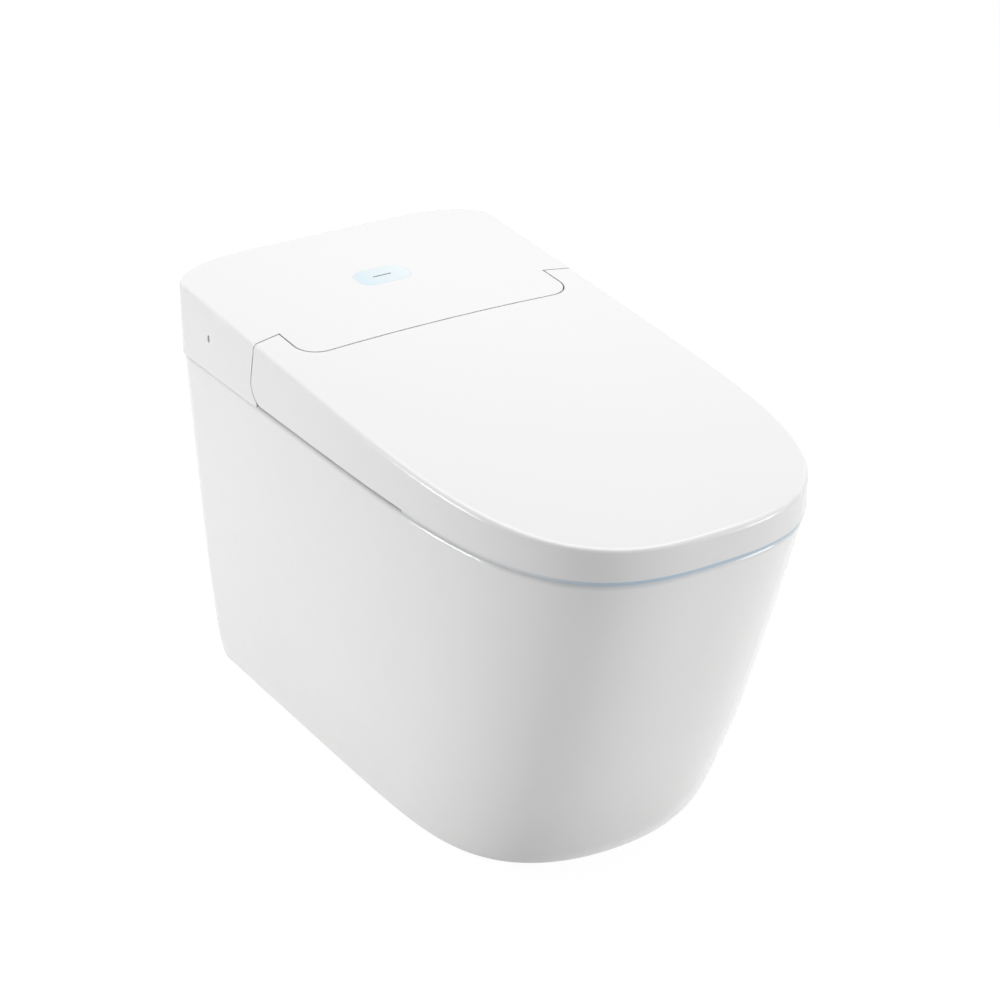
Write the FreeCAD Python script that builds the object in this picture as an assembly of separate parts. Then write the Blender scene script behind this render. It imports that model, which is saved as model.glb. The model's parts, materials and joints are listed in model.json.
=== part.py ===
import FreeCAD
import Part
import math
import os

# Floor-standing one-piece washing toilet with a heated seat, in millimetres.
# +Z is up, the nose of the bowl points to -Y and the flat back to +Y.
# The origin is on the floor, in the middle of the whole object's length and width.

V = FreeCAD.Vector

# ---- plan of the upper unit: the lid and the rear cover share this outline ----
unit_half_width = 191.5
unit_length = 730.0
unit_front = -unit_length / 2
unit_rear = unit_length / 2
unit_bend_start = unit_rear - 105.0     # the sides are straight behind this
unit_side_power = 6.25
unit_nose_power = 2.8
unit_corner_x = 99.0                    # the rear corners are quarter ellipses
unit_corner_y = 47.0

# ---- heights ----
rim_height = 382.0
unit_height = 82.5                      # upper surface at the back, above the rim
top_rear_height = rim_height + unit_height
top_slope = 0.066                       # it falls this much per mm towards the nose
top_crown = 6.0                         # and is this much higher in the middle
top_edge_radius = 5.0
above_all = top_rear_height + 60.0      # where cuts from above begin
outside_all = unit_length / 2 + 100.0   # and where those from the sides do

# ---- vitreous china pan ----
rim_half_width = unit_half_width - 1.0
rim_front = unit_front + 2.5
pan_rear = unit_rear - 13.0
foot_half_width = 155.6
foot_front = unit_front + 143.0
foot_bend_start = unit_rear - 70.0
foot_side_power = 8.8
foot_nose_power = 2.1
rim_corner = 42.0
foot_corner = 26.0
width_flare_power = 0.64                # how the skirt widens from the foot to the rim
nose_flare_power = 0.746
pan_wall = 12.0
deck_thickness = 14.0
rim_edge_radius = 5.0
skirt_levels = (0.0, 0.05, 0.14, 0.28, 0.48, 0.73, 1.0)
skirt_inner_levels = (0.0, 0.12, 0.45, 1.0)

# ---- upper unit ----
skin = 3.2                              # moulded wall of the lid and the rear cover
seam = 1.8                              # gap between the lid and the rear cover
lid_bottom = rim_height + 4.0
tongue_half_width = unit_half_width - 33.5
tongue_front = unit_rear - 255.2
tongue_corner = 25.0
ear_rear = unit_rear - 198.5            # rear edge of the lid's ears, at tongue_half_width
ear_skew = -7.5                         # it stands this much further forward at the unit's side
ear_rear_height = top_rear_height - 14.5    # height that the two values above are given for
ear_lean = 13.0                         # degrees, the ear's rear edge leans back going down
ear_heel_radius = 20.0
ear_wall_bottom = rim_height + 34.0     # under this the seat's corners pass behind the ear
cover_heel_turn = 60.0                  # degrees below level at which the cover stops following the heel

# ---- hinge line ----
hinge_y = unit_rear - 223.0
hinge_drop = 11.282                     # below the upper surface's slope
hinge_z = top_rear_height - top_slope * (unit_rear - hinge_y) - hinge_drop
shaft_radius = 4.0
hub_radius = 8.2
bearing_radius = 9.0
running_gap = 0.05                      # between a pin and what turns on it
side_gap = 1.5                          # between neighbours on the shafts
bearing_width = 8.0
seat_lug_width = 11.0
lid_lug_width = 10.5
bearing_outer_x = tongue_half_width - 4.0
bearing_inner_x = bearing_outer_x - bearing_width
seat_lug_inner_x = tongue_half_width + 2.0
seat_lug_outer_x = seat_lug_inner_x + seat_lug_width
lid_lug_inner_x = seat_lug_outer_x + side_gap
lid_lug_outer_x = lid_lug_inner_x + lid_lug_width
damper_length = 54.0
damper_radius = 9.5

# ---- seat ----
seat_inset = 6.8                        # from the unit's outline
seat_bottom = rim_height + 5.2
seat_base_thickness = 3.0
seat_below_lid = 11.32                  # its upper surface at the nose, under that of the lid
seat_top_front = top_rear_height - top_slope * unit_length - seat_below_lid
seat_slope = 0.043
seat_dish = 3.0
seat_rear = tongue_front - 12.8
seat_skin = 3.0
seat_edge_radius = 5.0
seat_corner = 14.0
seat_hole_half_width = unit_half_width - 85.5
seat_hole_front = unit_front + 81.0
seat_hole_rear = seat_rear - 71.0
arm_front = seat_rear - 7.0
arm_rear = seat_rear + 7.0
heater_thickness = 0.6
heater_margin = 5.0
rest_gap = 0.2                          # between a closed moving part and what it rests on
buffer_width = 14.0
buffer_length = 32.0
buffer_places = ((unit_half_width - 39.5, seat_rear - 157.0), (unit_half_width - 73.5, unit_front + 103.0))
strip_thickness = 2.8                   # light guide under the seat's front
strip_inset = 1.0
strip_width = 8.0
strip_neck_inset = 4.2
strip_rise = 0.6                        # above the rim
strip_rear = unit_front + 245.0

# ---- lid ----
liner_gap = 3.6                         # between the seat and the lid's inner panel
liner_thickness = 2.4
liner_play = 0.4                        # between the liner and the lid's skirt
liner_rear = seat_rear + 1.0
lid_boss_radius = 5.0
lid_boss_places = ((unit_half_width - 41.5, seat_rear - 37.0), (unit_half_width - 31.5, seat_rear - 177.0),
                   (unit_half_width - 81.5, unit_front + 95.0), (60.0, seat_rear - 17.0),
                   (60.0, seat_rear - 217.0))
lid_buffer_places = ((unit_half_width - 43.5, seat_rear - 47.0), (unit_half_width - 69.5, unit_front + 125.0))
lid_buffer_radius = 7.0

# ---- inside of the bowl: shares of its depth, half width and length ----
apron_y = tongue_front - 51.8           # front of the chassis, behind the bowl
bowl_wall = 9.0
bowl_half_width = seat_hole_half_width + 16.0
bowl_front = unit_front + 53.0
bowl_rear = apron_y + 4.0
bowl_bottom = 108.0
bowl_sections = (
    (0.854, 0.984, 0.011, 0.984),
    (0.664, 0.861, 0.086, 0.901),
    (0.427, 0.623, 0.214, 0.775),
    (0.208, 0.385, 0.348, 0.679),
    (0.051, 0.270, 0.433, 0.631),
    (0.000, 0.164, 0.473, 0.594),
)
trap_bore_radius = 24.0
trap_wall = 7.0
trap_bend_radius = 35.0
trap_entry_share = 0.535                # of the bowl's length
trap_low_share = 0.668
trap_low_height = 58.0
trap_rise = 59.0                        # degrees from level
rough_in = 305.0                        # from the wall behind to the middle of the floor outlet
horn_radius = 44.0
horn_height = 40.0
seal_height = 8.0

# openings in the deck behind the bowl
deck_opening_half_width = unit_half_width - 47.5
deck_opening_front = unit_rear - 177.0
deck_opening_rear = pan_rear - 20.0
slot_left = -31.0                       # slot for the washing wands and the dryer duct
slot_right = 78.0
slot_floor = rim_height - 52.0
slot_wall = 9.0
back_opening_half_width = foot_half_width - 51.6
back_opening_height = 236.0
bracket_width = 22.0
bracket_thickness = 4.0
bracket_height = 60.0
bracket_reach = 44.0
bracket_hole_radius = 5.5

# ---- washing wands, side by side in one housing ----
wand_tilt = 25.0
wand_tip_y = apron_y + 20.0
wand_tip_z = rim_height - 30.0
wand_radius = 6.5
wand_length = 150.0
wand_spacing = 28.0
wand_play = 0.1
wand_box_half_width = 27.0
wand_box_half_height = 10.5
wand_box_length = 158.0
wand_motor_size = 24.0                  # square, along the housing and below it
wand_motor_start = 80.0
wand_motor_inner = 2.0
wand_motor_outer = 26.0
front_reach = 40.0                      # how far tilted blocks run on before the apron trims them

# ---- warm air dryer, beside the wands ----
duct_left = 33.0
duct_right = 73.0
duct_half_height = 10.5
duct_wall = 2.0
scroll_radius = 33.0
scroll_y = unit_rear - 133.0
fan_radius = 25.0
fan_blades = 24
fan_play = 2.0
fan_shaft_radius = 2.0
dryer_motor_radius = 17.0
dryer_motor_length = 24.0
flap_thickness = 1.6
flap_play = 0.3
flap_pin_z = slot_floor + 26.5
flap_pin_radius = 1.2
flap_knuckle_radius = 2.6

# ---- chassis: a plate on the deck with a tub that hangs in the deck opening ----
plate_thickness = 3.0
plate_half_width = tongue_half_width - 6.0
plate_rear = deck_opening_rear + 6.0
plate_play = 3.0
tub_play = 3.0
tub_wall = 3.0
tub_corner = 9.0
tub_floor = rim_height - 82.0
apron_thickness = 4.0
slot_play = 0.3
cheek = 2.0
tab_x = tongue_half_width + 2.0         # uprights that the cover's screws go into
tab_thickness = 4.0

# ---- display, in the top of the rear cover ----
display_y = unit_rear - 132.0
display_length = 61.0
display_width = 37.0
display_corner = 14.0
display_thickness = 2.0
display_ledge = 1.6
display_gap = 0.15
sensor_length = 22.0
sensor_width = 1.8
sensor_y = display_y                    # its bar stands in the middle of the lens
board_post_x = 36.0
board_post_y = 24.0
board_post_radius = 3.0
board_thickness = 1.6
board_drop = 7.0

# ---- screws of the rear cover, one in each side ----
screw_y = unit_rear - 104.0
screw_z = rim_height + 38.6
recess_height = 8.6
recess_width = 4.6
recess_depth = 9.0
screw_radius = 1.9

# ---- modules in the tub: x0, x1, y0, y1 ----
tub_inner_x = deck_opening_half_width - tub_play - tub_wall
pump_x = slot_left - 7.0
pump_y = deck_opening_rear - 70.0
pump_radius = 32.0
pump_height = 98.0
heater_box = (12.0 - tub_inner_x, pump_x - pump_radius - 10.0, deck_opening_front + 15.0,
              deck_opening_rear - 44.0)
heater_height = 80.0
board_box = (1.0 - tub_inner_x, 10.0 - tub_inner_x, deck_opening_front + 15.0, deck_opening_rear - 32.0)
control_board_height = 85.0
air_pump_box = (pump_x + pump_radius + 22.0, pump_x + pump_radius + 72.0, deck_opening_rear - 48.0,
                deck_opening_rear - 12.0)
air_pump_height = 42.0
power_box = (air_pump_box[1] + 16.0, tub_inner_x - 6.0, deck_opening_front + 17.0, deck_opening_rear - 14.0)
power_height = 58.0
pipe_x = pump_x - 18.0
pipe_z = rim_height - 37.0
pipe_radius = 11.0
pipe_wall = 2.2
inlet_place = (50.0 - tub_inner_x, deck_opening_rear - 24.0)
inlet_radius = 10.4
inlet_length = 34.0
gland_place = (tub_inner_x - 38.0, deck_opening_rear - 32.0)

os.makedirs("parts", exist_ok=True)


# ------------------------------------------------------------------ helpers

def save(name, shape):
    shape.exportStep("parts/" + name + ".step")
    print(name, "solids", len(shape.Solids), "valid", shape.isValid(), "volume", round(shape.Volume))


def box(x0, x1, y0, y1, z0, z1):
    return Part.makeBox(x1 - x0, y1 - y0, z1 - z0, V(x0, y0, z0))


def rounded_box(x0, x1, y0, y1, z0, z1, radius):
    solid = box(x0, x1, y0, y1, z0, z1)
    upright = [e for e in solid.Edges if abs(e.Vertexes[0].Z - e.Vertexes[1].Z) > 1]
    return solid.makeFillet(radius, upright)


def post(radius, x, y, z0, z1):
    return Part.makeCylinder(radius, z1 - z0, V(x, y, z0))


def cross_rod(radius, x0, x1, y=hinge_y, z=hinge_z):
    """A cylinder along X, on the hinge line unless told otherwise."""
    return Part.makeCylinder(radius, x1 - x0, V(x0, y, z), V(1, 0, 0))


def mirrored(shape):
    return shape.mirror(V(0, 0, 0), V(1, 0, 0))


def pair(shape):
    return Part.makeCompound([shape, mirrored(shape)])


def joined(first, *others):
    return first.fuse(list(others)).removeSplitter()


def side_profile(edges_or_points, x0, x1, skew=0.0):
    """A closed Y-Z outline at x0, pulled along X to x1 and by skew along Y."""
    if isinstance(edges_or_points[0], tuple):
        corners = [V(x0, y, z) for y, z in edges_or_points]
        wire = Part.makePolygon(corners + corners[:1])
    else:
        wire = Part.Wire(edges_or_points)
    return Part.Face(wire).extrude(V(x1 - x0, skew, 0))


def evenly_spaced(points, count):
    """The same path, through count points that lie equally far apart."""
    reach = [0.0]
    for start, end in zip(points, points[1:]):
        reach.append(reach[-1] + start.distanceToPoint(end))
    result, i = [], 0
    for k in range(count):
        wanted = reach[-1] * k / (count - 1)
        while i < len(points) - 2 and reach[i + 1] < wanted:
            i += 1
        share = (wanted - reach[i]) / (reach[i + 1] - reach[i])
        result.append(points[i] + (points[i + 1] - points[i]) * share)
    return result, reach[-1]


def rear_corner(side, half_width, rear, corner_x, corner_y, z):
    """Quarter ellipse from a long side to the flat back."""
    curve = Part.BezierCurve()
    curve.setPoles([V(side * half_width, rear - corner_y, z), V(side * half_width, rear, z),
                    V(side * (half_width - corner_x), rear, z)])
    curve.setWeight(2, math.sqrt(0.5))
    return curve.toShape()


def plan_outline(half_width, front, rear, bend_start, side_power, nose_power, corner_x, corner_y, z):
    """Flat back, two elliptical corners, and long sides that bend into a rounded nose."""
    side_end = rear - corner_y
    right = [V(half_width, side_end, z)]
    fine = 160
    for i in range(fine + 1):
        share = 1.0 - (1.0 - i / fine) ** 2
        y = bend_start + (front - bend_start) * share
        if y < side_end - 1.0:
            x = half_width * max(0.0, 1.0 - share ** side_power) ** (1.0 / nose_power)
            right.append(V(x, y, z))
    left = [V(-p.x, p.y, z) for p in reversed(right[:-1])]
    points, length = evenly_spaced(right + left, 33)
    spacing = [i / (len(points) - 1) for i in range(len(points))]
    nose = Part.BSplineCurve()
    nose.interpolate(Points=points, Parameters=spacing, InitialTangent=V(0, -length, 0),
                     FinalTangent=V(0, length, 0), Scale=False)
    flat = half_width - corner_x
    back = Part.LineSegment(V(-flat, rear, z), V(flat, rear, z)).toShape()
    corners = [rear_corner(side, half_width, rear, corner_x, corner_y, z) for side in (1, -1)]
    return Part.Wire(Part.__sortEdges__([back, corners[0], nose.toShape(), corners[1]]))


def unit_outline(inset, z):
    return plan_outline(unit_half_width - inset, unit_front + inset, unit_rear - inset,
                        unit_bend_start, unit_side_power, unit_nose_power,
                        unit_corner_x - inset, unit_corner_y - inset, z)


def unit_prism(inset, z0, z1):
    return Part.Face(unit_outline(inset, z0)).extrude(V(0, 0, z1 - z0))


def sheet_height(y, rear_height, slope):
    return rear_height - slope * (unit_rear - y)


def below_sheet(rear_height, slope, crown):
    """All that lies under a sloping sheet, crowned in the middle and straight at the unit's edges."""
    reach_x, reach_y, depth = 1.05 * unit_half_width, 1.05 * unit_rear, 220.0
    end_x = 1 - (reach_x / unit_half_width) ** 2
    end_y = 1 - (reach_y / unit_rear) ** 2
    sheet = Part.BezierSurface()
    sheet.increase(2, 2)
    for i, (x, share_x) in enumerate(((-reach_x, end_x), (0, 2 - end_x), (reach_x, end_x))):
        for j, (y, share_y) in enumerate(((-reach_y, end_y), (0, 2 - end_y), (reach_y, end_y))):
            z = sheet_height(y, rear_height, slope) + crown * share_x * share_y
            sheet.setPole(i + 1, j + 1, V(x, y, z))
    return sheet.toShape().extrude(V(0, 0, -depth))


def below_top(drop):
    return below_sheet(top_rear_height - drop, top_slope, top_crown)


def top_height(x, y):
    bulge = (1 - (x / unit_half_width) ** 2) * (1 - (y / unit_rear) ** 2)
    return sheet_height(y, top_rear_height, top_slope) + top_crown * bulge


def below_seat_top(rise):
    """Under the seat's dished upper surface, raised by rise."""
    rear_height = seat_top_front + seat_slope * (unit_rear - unit_front) + rise
    return below_sheet(rear_height, seat_slope, -seat_dish)


def egg(half_width, front, rear, z, power=2.3):
    """Egg-shaped outline, widest behind its middle."""
    widest = front + 0.56 * (rear - front)
    points = []
    count = 24
    for i in range(count):
        angle = 2 * math.pi * i / count
        c, s = math.cos(angle), math.sin(angle)
        reach = (rear - widest) if s > 0 else (widest - front)
        x = half_width * math.copysign(abs(c) ** (2 / power), c)
        y = widest + reach * math.copysign(abs(s) ** (2 / power), s)
        points.append(V(x, y, z))
    spacing = [i / count for i in range(count + 1)]
    curve = Part.BSplineCurve()
    curve.interpolate(Points=points, Parameters=spacing, PeriodicFlag=True)
    return Part.Wire([curve.toShape()])


def egg_prism(half_width, front, rear, z0, z1):
    return Part.Face(egg(half_width, front, rear, z0)).extrude(V(0, 0, z1 - z0))


def ahead_of(y):
    return box(-outside_all, outside_all, -outside_all, y, slot_floor, above_all)


def fillet_edges(shape, radius, wanted):
    return shape.makeFillet(radius, [e for e in shape.Edges if wanted(e.BoundBox)])


# ------------------------------------------------------------------ pan

def skirt_section(share, inset):
    """Outline of the skirt at a share of the rim's height."""
    def mix(foot, rim, power=1.0):
        return foot + (rim - foot) * share ** power
    corner = mix(foot_corner, rim_corner) - inset
    rear = pan_rear - inset
    return plan_outline(mix(foot_half_width, rim_half_width, width_flare_power) - inset,
                        mix(foot_front, rim_front, nose_flare_power) + inset, rear,
                        mix(foot_bend_start, unit_bend_start),
                        mix(foot_side_power, unit_side_power), mix(foot_nose_power, unit_nose_power),
                        corner, corner, share * rim_height)


def bowl_section(share, width_share, front_share, rear_share, grow):
    """Outline of the bowl at a share of its depth, or of its outside with grow as the wall."""
    length = bowl_rear - bowl_front
    z = bowl_bottom + share * (rim_height - bowl_bottom) - grow
    return egg(width_share * bowl_half_width + grow, bowl_front + front_share * length - grow,
               bowl_front + rear_share * length + grow, z)


def bowl_solid(grow):
    """Inside of the bowl, or its outside with grow as the wall."""
    over_rim = 1.0 + 2.0 / (rim_height - bowl_bottom)
    top = (over_rim, 1.0, 0.0, 1.0)
    sections = [bowl_section(*shares, grow) for shares in (top,) + bowl_sections]
    return Part.makeLoft(sections, True, False)


def outlet_y():
    return unit_rear - rough_in


def trap_entry():
    return bowl_front + trap_entry_share * (bowl_rear - bowl_front), bowl_bottom + 10


def trap_path():
    """From the bowl down, up over the weir, and down to the floor outlet, in the middle plane."""
    rise = math.radians(trap_rise)
    low = (bowl_front + trap_low_share * (bowl_rear - bowl_front), trap_low_height)
    run = (outlet_y() - low[0]) / math.cos(rise)
    peak = (outlet_y(), low[1] + run * math.sin(rise))
    corners = [V(0, y, z) for y, z in (trap_entry(), low, peak, (outlet_y(), 0.0))]
    edges = []
    start = corners[0]
    for before, corner, after in zip(corners, corners[1:], corners[2:]):
        incoming = (corner - before).normalize()
        outgoing = (after - corner).normalize()
        turn = incoming.getAngle(outgoing)
        tangent = trap_bend_radius * math.tan(turn / 2)
        arc_start = corner - incoming * tangent
        arc_end = corner + outgoing * tangent
        inward = (outgoing - incoming).normalize()
        centre = corner + inward * (trap_bend_radius / math.cos(turn / 2))
        middle = centre - inward * trap_bend_radius
        edges.append(Part.LineSegment(start, arc_start).toShape())
        edges.append(Part.Arc(arc_start, middle, arc_end).toShape())
        start = arc_end
    edges.append(Part.LineSegment(start, corners[-1]).toShape())
    return Part.Wire(edges)


def trap_solid(radius):
    path = trap_path()
    first = path.Edges[0]
    start = first.Vertexes[0].Point
    ring = Part.Wire([Part.Circle(start, first.Vertexes[1].Point - start, radius).toShape()])
    return path.makePipeShell([ring], True, False)


def pan():
    outside = Part.makeLoft([skirt_section(share, 0.0) for share in skirt_levels], True, False)
    outside = fillet_edges(outside, rim_edge_radius, lambda b: b.ZMin > rim_height - 0.01)
    top_share = (rim_height - deck_thickness) / rim_height
    inside = Part.makeLoft([skirt_section(share * top_share, pan_wall) for share in skirt_inner_levels],
                           True, False)
    tray = box(slot_left - slot_wall, slot_right + slot_wall, apron_y - 20, deck_opening_front + 1,
               slot_floor - slot_wall, rim_height - 1)
    horn = post(horn_radius, 0, outlet_y(), 0, horn_height)
    body = outside.cut(inside)
    body = body.fuse([bowl_solid(bowl_wall), trap_solid(trap_bore_radius + trap_wall), tray, horn])
    slot = box(slot_left, slot_right, apron_y - 40, deck_opening_front + 2, slot_floor, rim_height + 1)
    opening = rounded_box(-deck_opening_half_width, deck_opening_half_width, deck_opening_front,
                          deck_opening_rear, slot_floor - slot_wall - 1, rim_height + 1, 10)
    back = box(-back_opening_half_width, back_opening_half_width, pan_rear - 2 * pan_wall, pan_rear + 1,
               -1, back_opening_height)
    pipe_hole = flush_rod(pipe_radius, apron_y - 60, deck_opening_front + 2)
    seal_room = post(horn_radius + 1, 0, outlet_y(), -1, seal_height)
    return body.cut([bowl_solid(0.0), trap_solid(trap_bore_radius), slot, opening, back,
                     pipe_hole, seal_room])


def outlet_seal():
    ring = post(horn_radius, 0, outlet_y(), 0, seal_height)
    return ring.cut(post(trap_bore_radius + 1, 0, outlet_y(), -1, seal_height + 1))


def floor_brackets():
    """Steel angles that hold the back of the pan to the floor."""
    inner = pan_rear - pan_wall
    x0 = back_opening_half_width + 2
    x1 = x0 + bracket_width
    leg = box(x0, x1, inner - bracket_thickness, inner, 0, bracket_height)
    foot = box(x0, x1, inner - bracket_reach, inner, 0, bracket_thickness)
    hole = post(bracket_hole_radius, (x0 + x1) / 2, inner - bracket_reach / 2, -1, bracket_thickness + 1)
    return pair(joined(leg, foot).cut(hole))


# ------------------------------------------------------------------ lid and rear cover

def unit_outside(z0):
    solid = unit_prism(0, z0, above_all).common(below_top(0))
    return fillet_edges(solid, top_edge_radius, lambda b: b.ZMin > z0 + 5)


def unit_inside(z0):
    return unit_prism(skin, z0 - 5, above_all).common(below_top(skin))


def tongue(grow):
    """The rear cover's middle part, which reaches forward between the lid's ears."""
    front = tongue_front - grow
    half_width = tongue_half_width + grow
    solid = box(-half_width, half_width, front, outside_all, slot_floor, above_all)
    corners = [e for e in solid.Edges if e.BoundBox.YMax < front + 0.1 and e.BoundBox.ZLength > 1]
    return solid.makeFillet(tongue_corner + grow, corners)


def behind_ear(back, turn=90.0):
    """All that lies behind the lid's right ear, moved away from it by back, round turn of its heel."""
    lean = math.radians(ear_lean)
    low = math.radians(turn)
    normal = V(0, math.cos(lean), math.sin(lean))
    down = V(0, math.sin(lean), -math.cos(lean))
    x0 = tongue_half_width - 6
    skew_rate = ear_skew / (unit_half_width - tongue_half_width)
    start = V(x0, ear_rear + skew_rate * (x0 - tongue_half_width), ear_rear_height)
    heel = start - normal * ear_heel_radius
    heel = heel + down * ((heel.z - lid_bottom - ear_heel_radius) / math.cos(lean))
    reach = ear_heel_radius + back
    last = V(0, math.cos(low), -math.sin(low))
    middle = (normal + last).normalize()
    top = start + normal * back - down * ((above_all - start.z) / math.cos(lean))
    under = heel + last * reach
    corners = [V(x0, under.y, slot_floor), V(x0, outside_all, slot_floor), V(x0, outside_all, top.z)]
    edges = [Part.LineSegment(top, heel + normal * reach).toShape(),
             Part.Arc(heel + normal * reach, heel + middle * reach, under).toShape()]
    path = [under] + corners + [top]
    edges += [Part.LineSegment(a, b).toShape() for a, b in zip(path, path[1:])]
    width = unit_half_width + 10 - x0
    return side_profile(edges, x0, x0 + width, skew_rate * width)


def cover_zone(inward):
    ear = behind_ear(seam + inward, cover_heel_turn)
    return tongue(-inward).fuse([ear, mirrored(ear)])


def screw_recess(width, depth, outward):
    """Upright slot with round ends, into the cover's right side."""
    x0 = unit_half_width - depth
    radius = width / 2
    half = (recess_height - recess_width + width) / 2 - radius
    x1 = unit_half_width + outward
    bar = box(x0, x1, screw_y - radius, screw_y + radius, screw_z - half, screw_z + half)
    ends = [cross_rod(radius, x0, x1, screw_y, screw_z + dz) for dz in (-half, half)]
    return bar.fuse(ends)


def display_prism(grow):
    half_length, half_width = display_length / 2 + grow, display_width / 2 + grow
    return rounded_box(-half_length, half_length, display_y - half_width, display_y + half_width,
                       slot_floor, above_all, display_corner + grow)


def sensor_prism():
    return box(-sensor_length / 2, sensor_length / 2, sensor_y - sensor_width / 2,
               sensor_y + sensor_width / 2, slot_floor, above_all)


def board_posts(radius, z0, z1):
    return [post(radius, sx * board_post_x, display_y + sy * board_post_y, z0, z1)
            for sx in (-1, 1) for sy in (-1, 1)]


def rear_cover():
    shell = unit_outside(rim_height).common(cover_zone(0))
    room = unit_inside(rim_height).common(cover_zone(skin))
    shell = shell.cut(room)
    boss_x = unit_half_width - recess_depth - 2.5
    boss = box(boss_x, unit_half_width - skin / 2, screw_y - 6, screw_y + 6, screw_z - 9, screw_z + 9)
    posts = [p.common(room) for p in board_posts(board_post_radius, display_board_top(), above_all)]
    shell = shell.fuse([boss, mirrored(boss)] + posts)
    recess = screw_recess(recess_width, recess_depth, 1)
    pocket = display_prism(display_gap).cut(below_top(display_thickness))
    window = display_prism(-display_ledge)
    shafts = cross_rod(shaft_radius + 0.5, bearing_outer_x, seat_lug_inner_x)
    screw_hole = cross_rod(screw_radius, boss_x - 1, unit_half_width, screw_y, screw_z)
    return shell.cut([recess, mirrored(recess), pocket, window, shafts, mirrored(shafts),
                      screw_hole, mirrored(screw_hole)])


def display_window():
    lens = display_prism(0).common(below_top(0)).cut(below_top(display_thickness))
    return lens.cut(sensor_prism())


def sensor_window():
    return sensor_prism().common(below_top(0)).cut(below_top(display_thickness))


def display_board_top():
    return top_height(0, display_y) - skin - board_drop


def display_board():
    top = display_board_top()
    board = box(-board_post_x - 5, board_post_x + 5, display_y - board_post_y - 5,
                display_y + board_post_y + 5, top - board_thickness, top)
    lamps = [box(x - 6, x + 6, display_y - 6, display_y + 6, top, top + 3) for x in (-18, 0, 18)]
    return joined(board, *lamps)


def cover_screws():
    x_head = unit_half_width - recess_depth
    head = cross_rod(recess_width / 2 - 0.1, x_head, x_head + 2.2, screw_y, screw_z)
    shank = cross_rod(screw_radius, tab_x, x_head, screw_y, screw_z)
    return pair(joined(head, shank))


def lid_shell():
    ear = behind_ear(0)
    outside = unit_outside(lid_bottom).cut([tongue(seam), ear, mirrored(ear)])
    behind = behind_ear(-skin)
    ear_wall = behind.common(box(lid_lug_inner_x, outside_all, 0, outside_all, ear_wall_bottom, above_all))
    room = unit_inside(lid_bottom).cut([ear_wall, mirrored(ear_wall)])
    shell = outside.cut(room)
    web = box(lid_lug_inner_x, lid_lug_outer_x, hinge_y - hub_radius, hinge_y + hub_radius,
              hinge_z, above_all)
    lug = cross_rod(hub_radius, lid_lug_inner_x, lid_lug_outer_x).fuse(web.common(unit_inside(lid_bottom)))
    bosses = []
    for x, y in lid_boss_places:
        for side in (-1, 1):
            pillar = post(lid_boss_radius, side * x, y, lid_bottom, above_all).common(unit_inside(lid_bottom))
            bosses.append(pillar.cut(below_seat_top(liner_gap + liner_thickness)))
    bore = cross_rod(shaft_radius + running_gap, lid_lug_inner_x - 1, lid_lug_outer_x + 1)
    return shell.fuse([lug, mirrored(lug)] + bosses).cut([bore, mirrored(bore)])


def lid_liner():
    plan = unit_prism(skin + liner_play, lid_bottom, above_all).common(ahead_of(liner_rear))
    return plan.common(below_seat_top(liner_gap + liner_thickness)).cut(below_seat_top(liner_gap))


def lid_buffers():
    pads = []
    for x, y in lid_buffer_places:
        for side in (-1, 1):
            pad = post(lid_buffer_radius, side * x, y, lid_bottom, above_all)
            pads.append(pad.common(below_seat_top(liner_gap)).cut(below_seat_top(rest_gap)))
    return Part.makeCompound(pads)


# ------------------------------------------------------------------ seat

def seat_plan(inset, z0, z1):
    solid = unit_prism(seat_inset + inset, z0, z1)
    solid = solid.common(ahead_of(seat_rear - inset))
    corners = [e for e in solid.Edges if e.BoundBox.YMin > seat_rear - inset - 0.1
               and e.BoundBox.XLength < 0.1]
    return solid.makeFillet(seat_corner - inset, corners)


def seat_hole(grow, z0, z1):
    return egg_prism(seat_hole_half_width + grow, seat_hole_front - grow, seat_hole_rear + grow, z0, z1)


def seat_top():
    floor = seat_bottom + seat_base_thickness
    outside = seat_plan(0, floor, above_all).cut(seat_hole(0, floor - 1, above_all)).common(below_seat_top(0))
    outside = fillet_edges(outside, seat_edge_radius, lambda b: b.ZMin > floor + 5)
    room = seat_plan(seat_skin, floor - 1, above_all).cut(seat_hole(seat_skin, floor - 2, above_all))
    shell = outside.cut(room.common(below_seat_top(-seat_skin)))
    top_at_arm = sheet_height(arm_front, seat_top_front + seat_slope * (unit_rear - unit_front), seat_slope)
    reach = hub_radius * 0.94
    outline = [(arm_front, floor), (arm_rear, floor), (hinge_y + reach, hinge_z - 0.3 * hub_radius),
               (hinge_y - 0.3 * hub_radius, hinge_z + reach), (arm_front, top_at_arm - 4)]
    arm = side_profile(outline, seat_lug_inner_x, seat_lug_outer_x)
    lug = cross_rod(hub_radius, seat_lug_inner_x, seat_lug_outer_x)
    bore = cross_rod(shaft_radius + running_gap, seat_lug_inner_x - 1, seat_lug_outer_x + 1)
    return shell.fuse([arm, mirrored(arm), lug, mirrored(lug)]).cut([bore, mirrored(bore)])


def seat_base():
    top = seat_bottom + seat_base_thickness
    return seat_plan(0, seat_bottom, top).cut(seat_hole(0, seat_bottom - 1, top + 1))


def seat_heater():
    """Thin heating mat under the seat's upper skin."""
    inset = seat_skin + heater_margin
    mat = seat_plan(inset, seat_bottom, above_all).cut(seat_hole(inset, seat_bottom - 1, above_all))
    return mat.common(below_seat_top(-seat_skin)).cut(below_seat_top(-seat_skin - heater_thickness))


def seat_buffers():
    pads = []
    for x, y in buffer_places:
        pad = rounded_box(x - buffer_width / 2, x + buffer_width / 2, y - buffer_length / 2,
                          y + buffer_length / 2, rim_height + rest_gap, seat_bottom, buffer_width / 2 - 0.5)
        pads += [pad, mirrored(pad)]
    return Part.makeCompound(pads)


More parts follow.
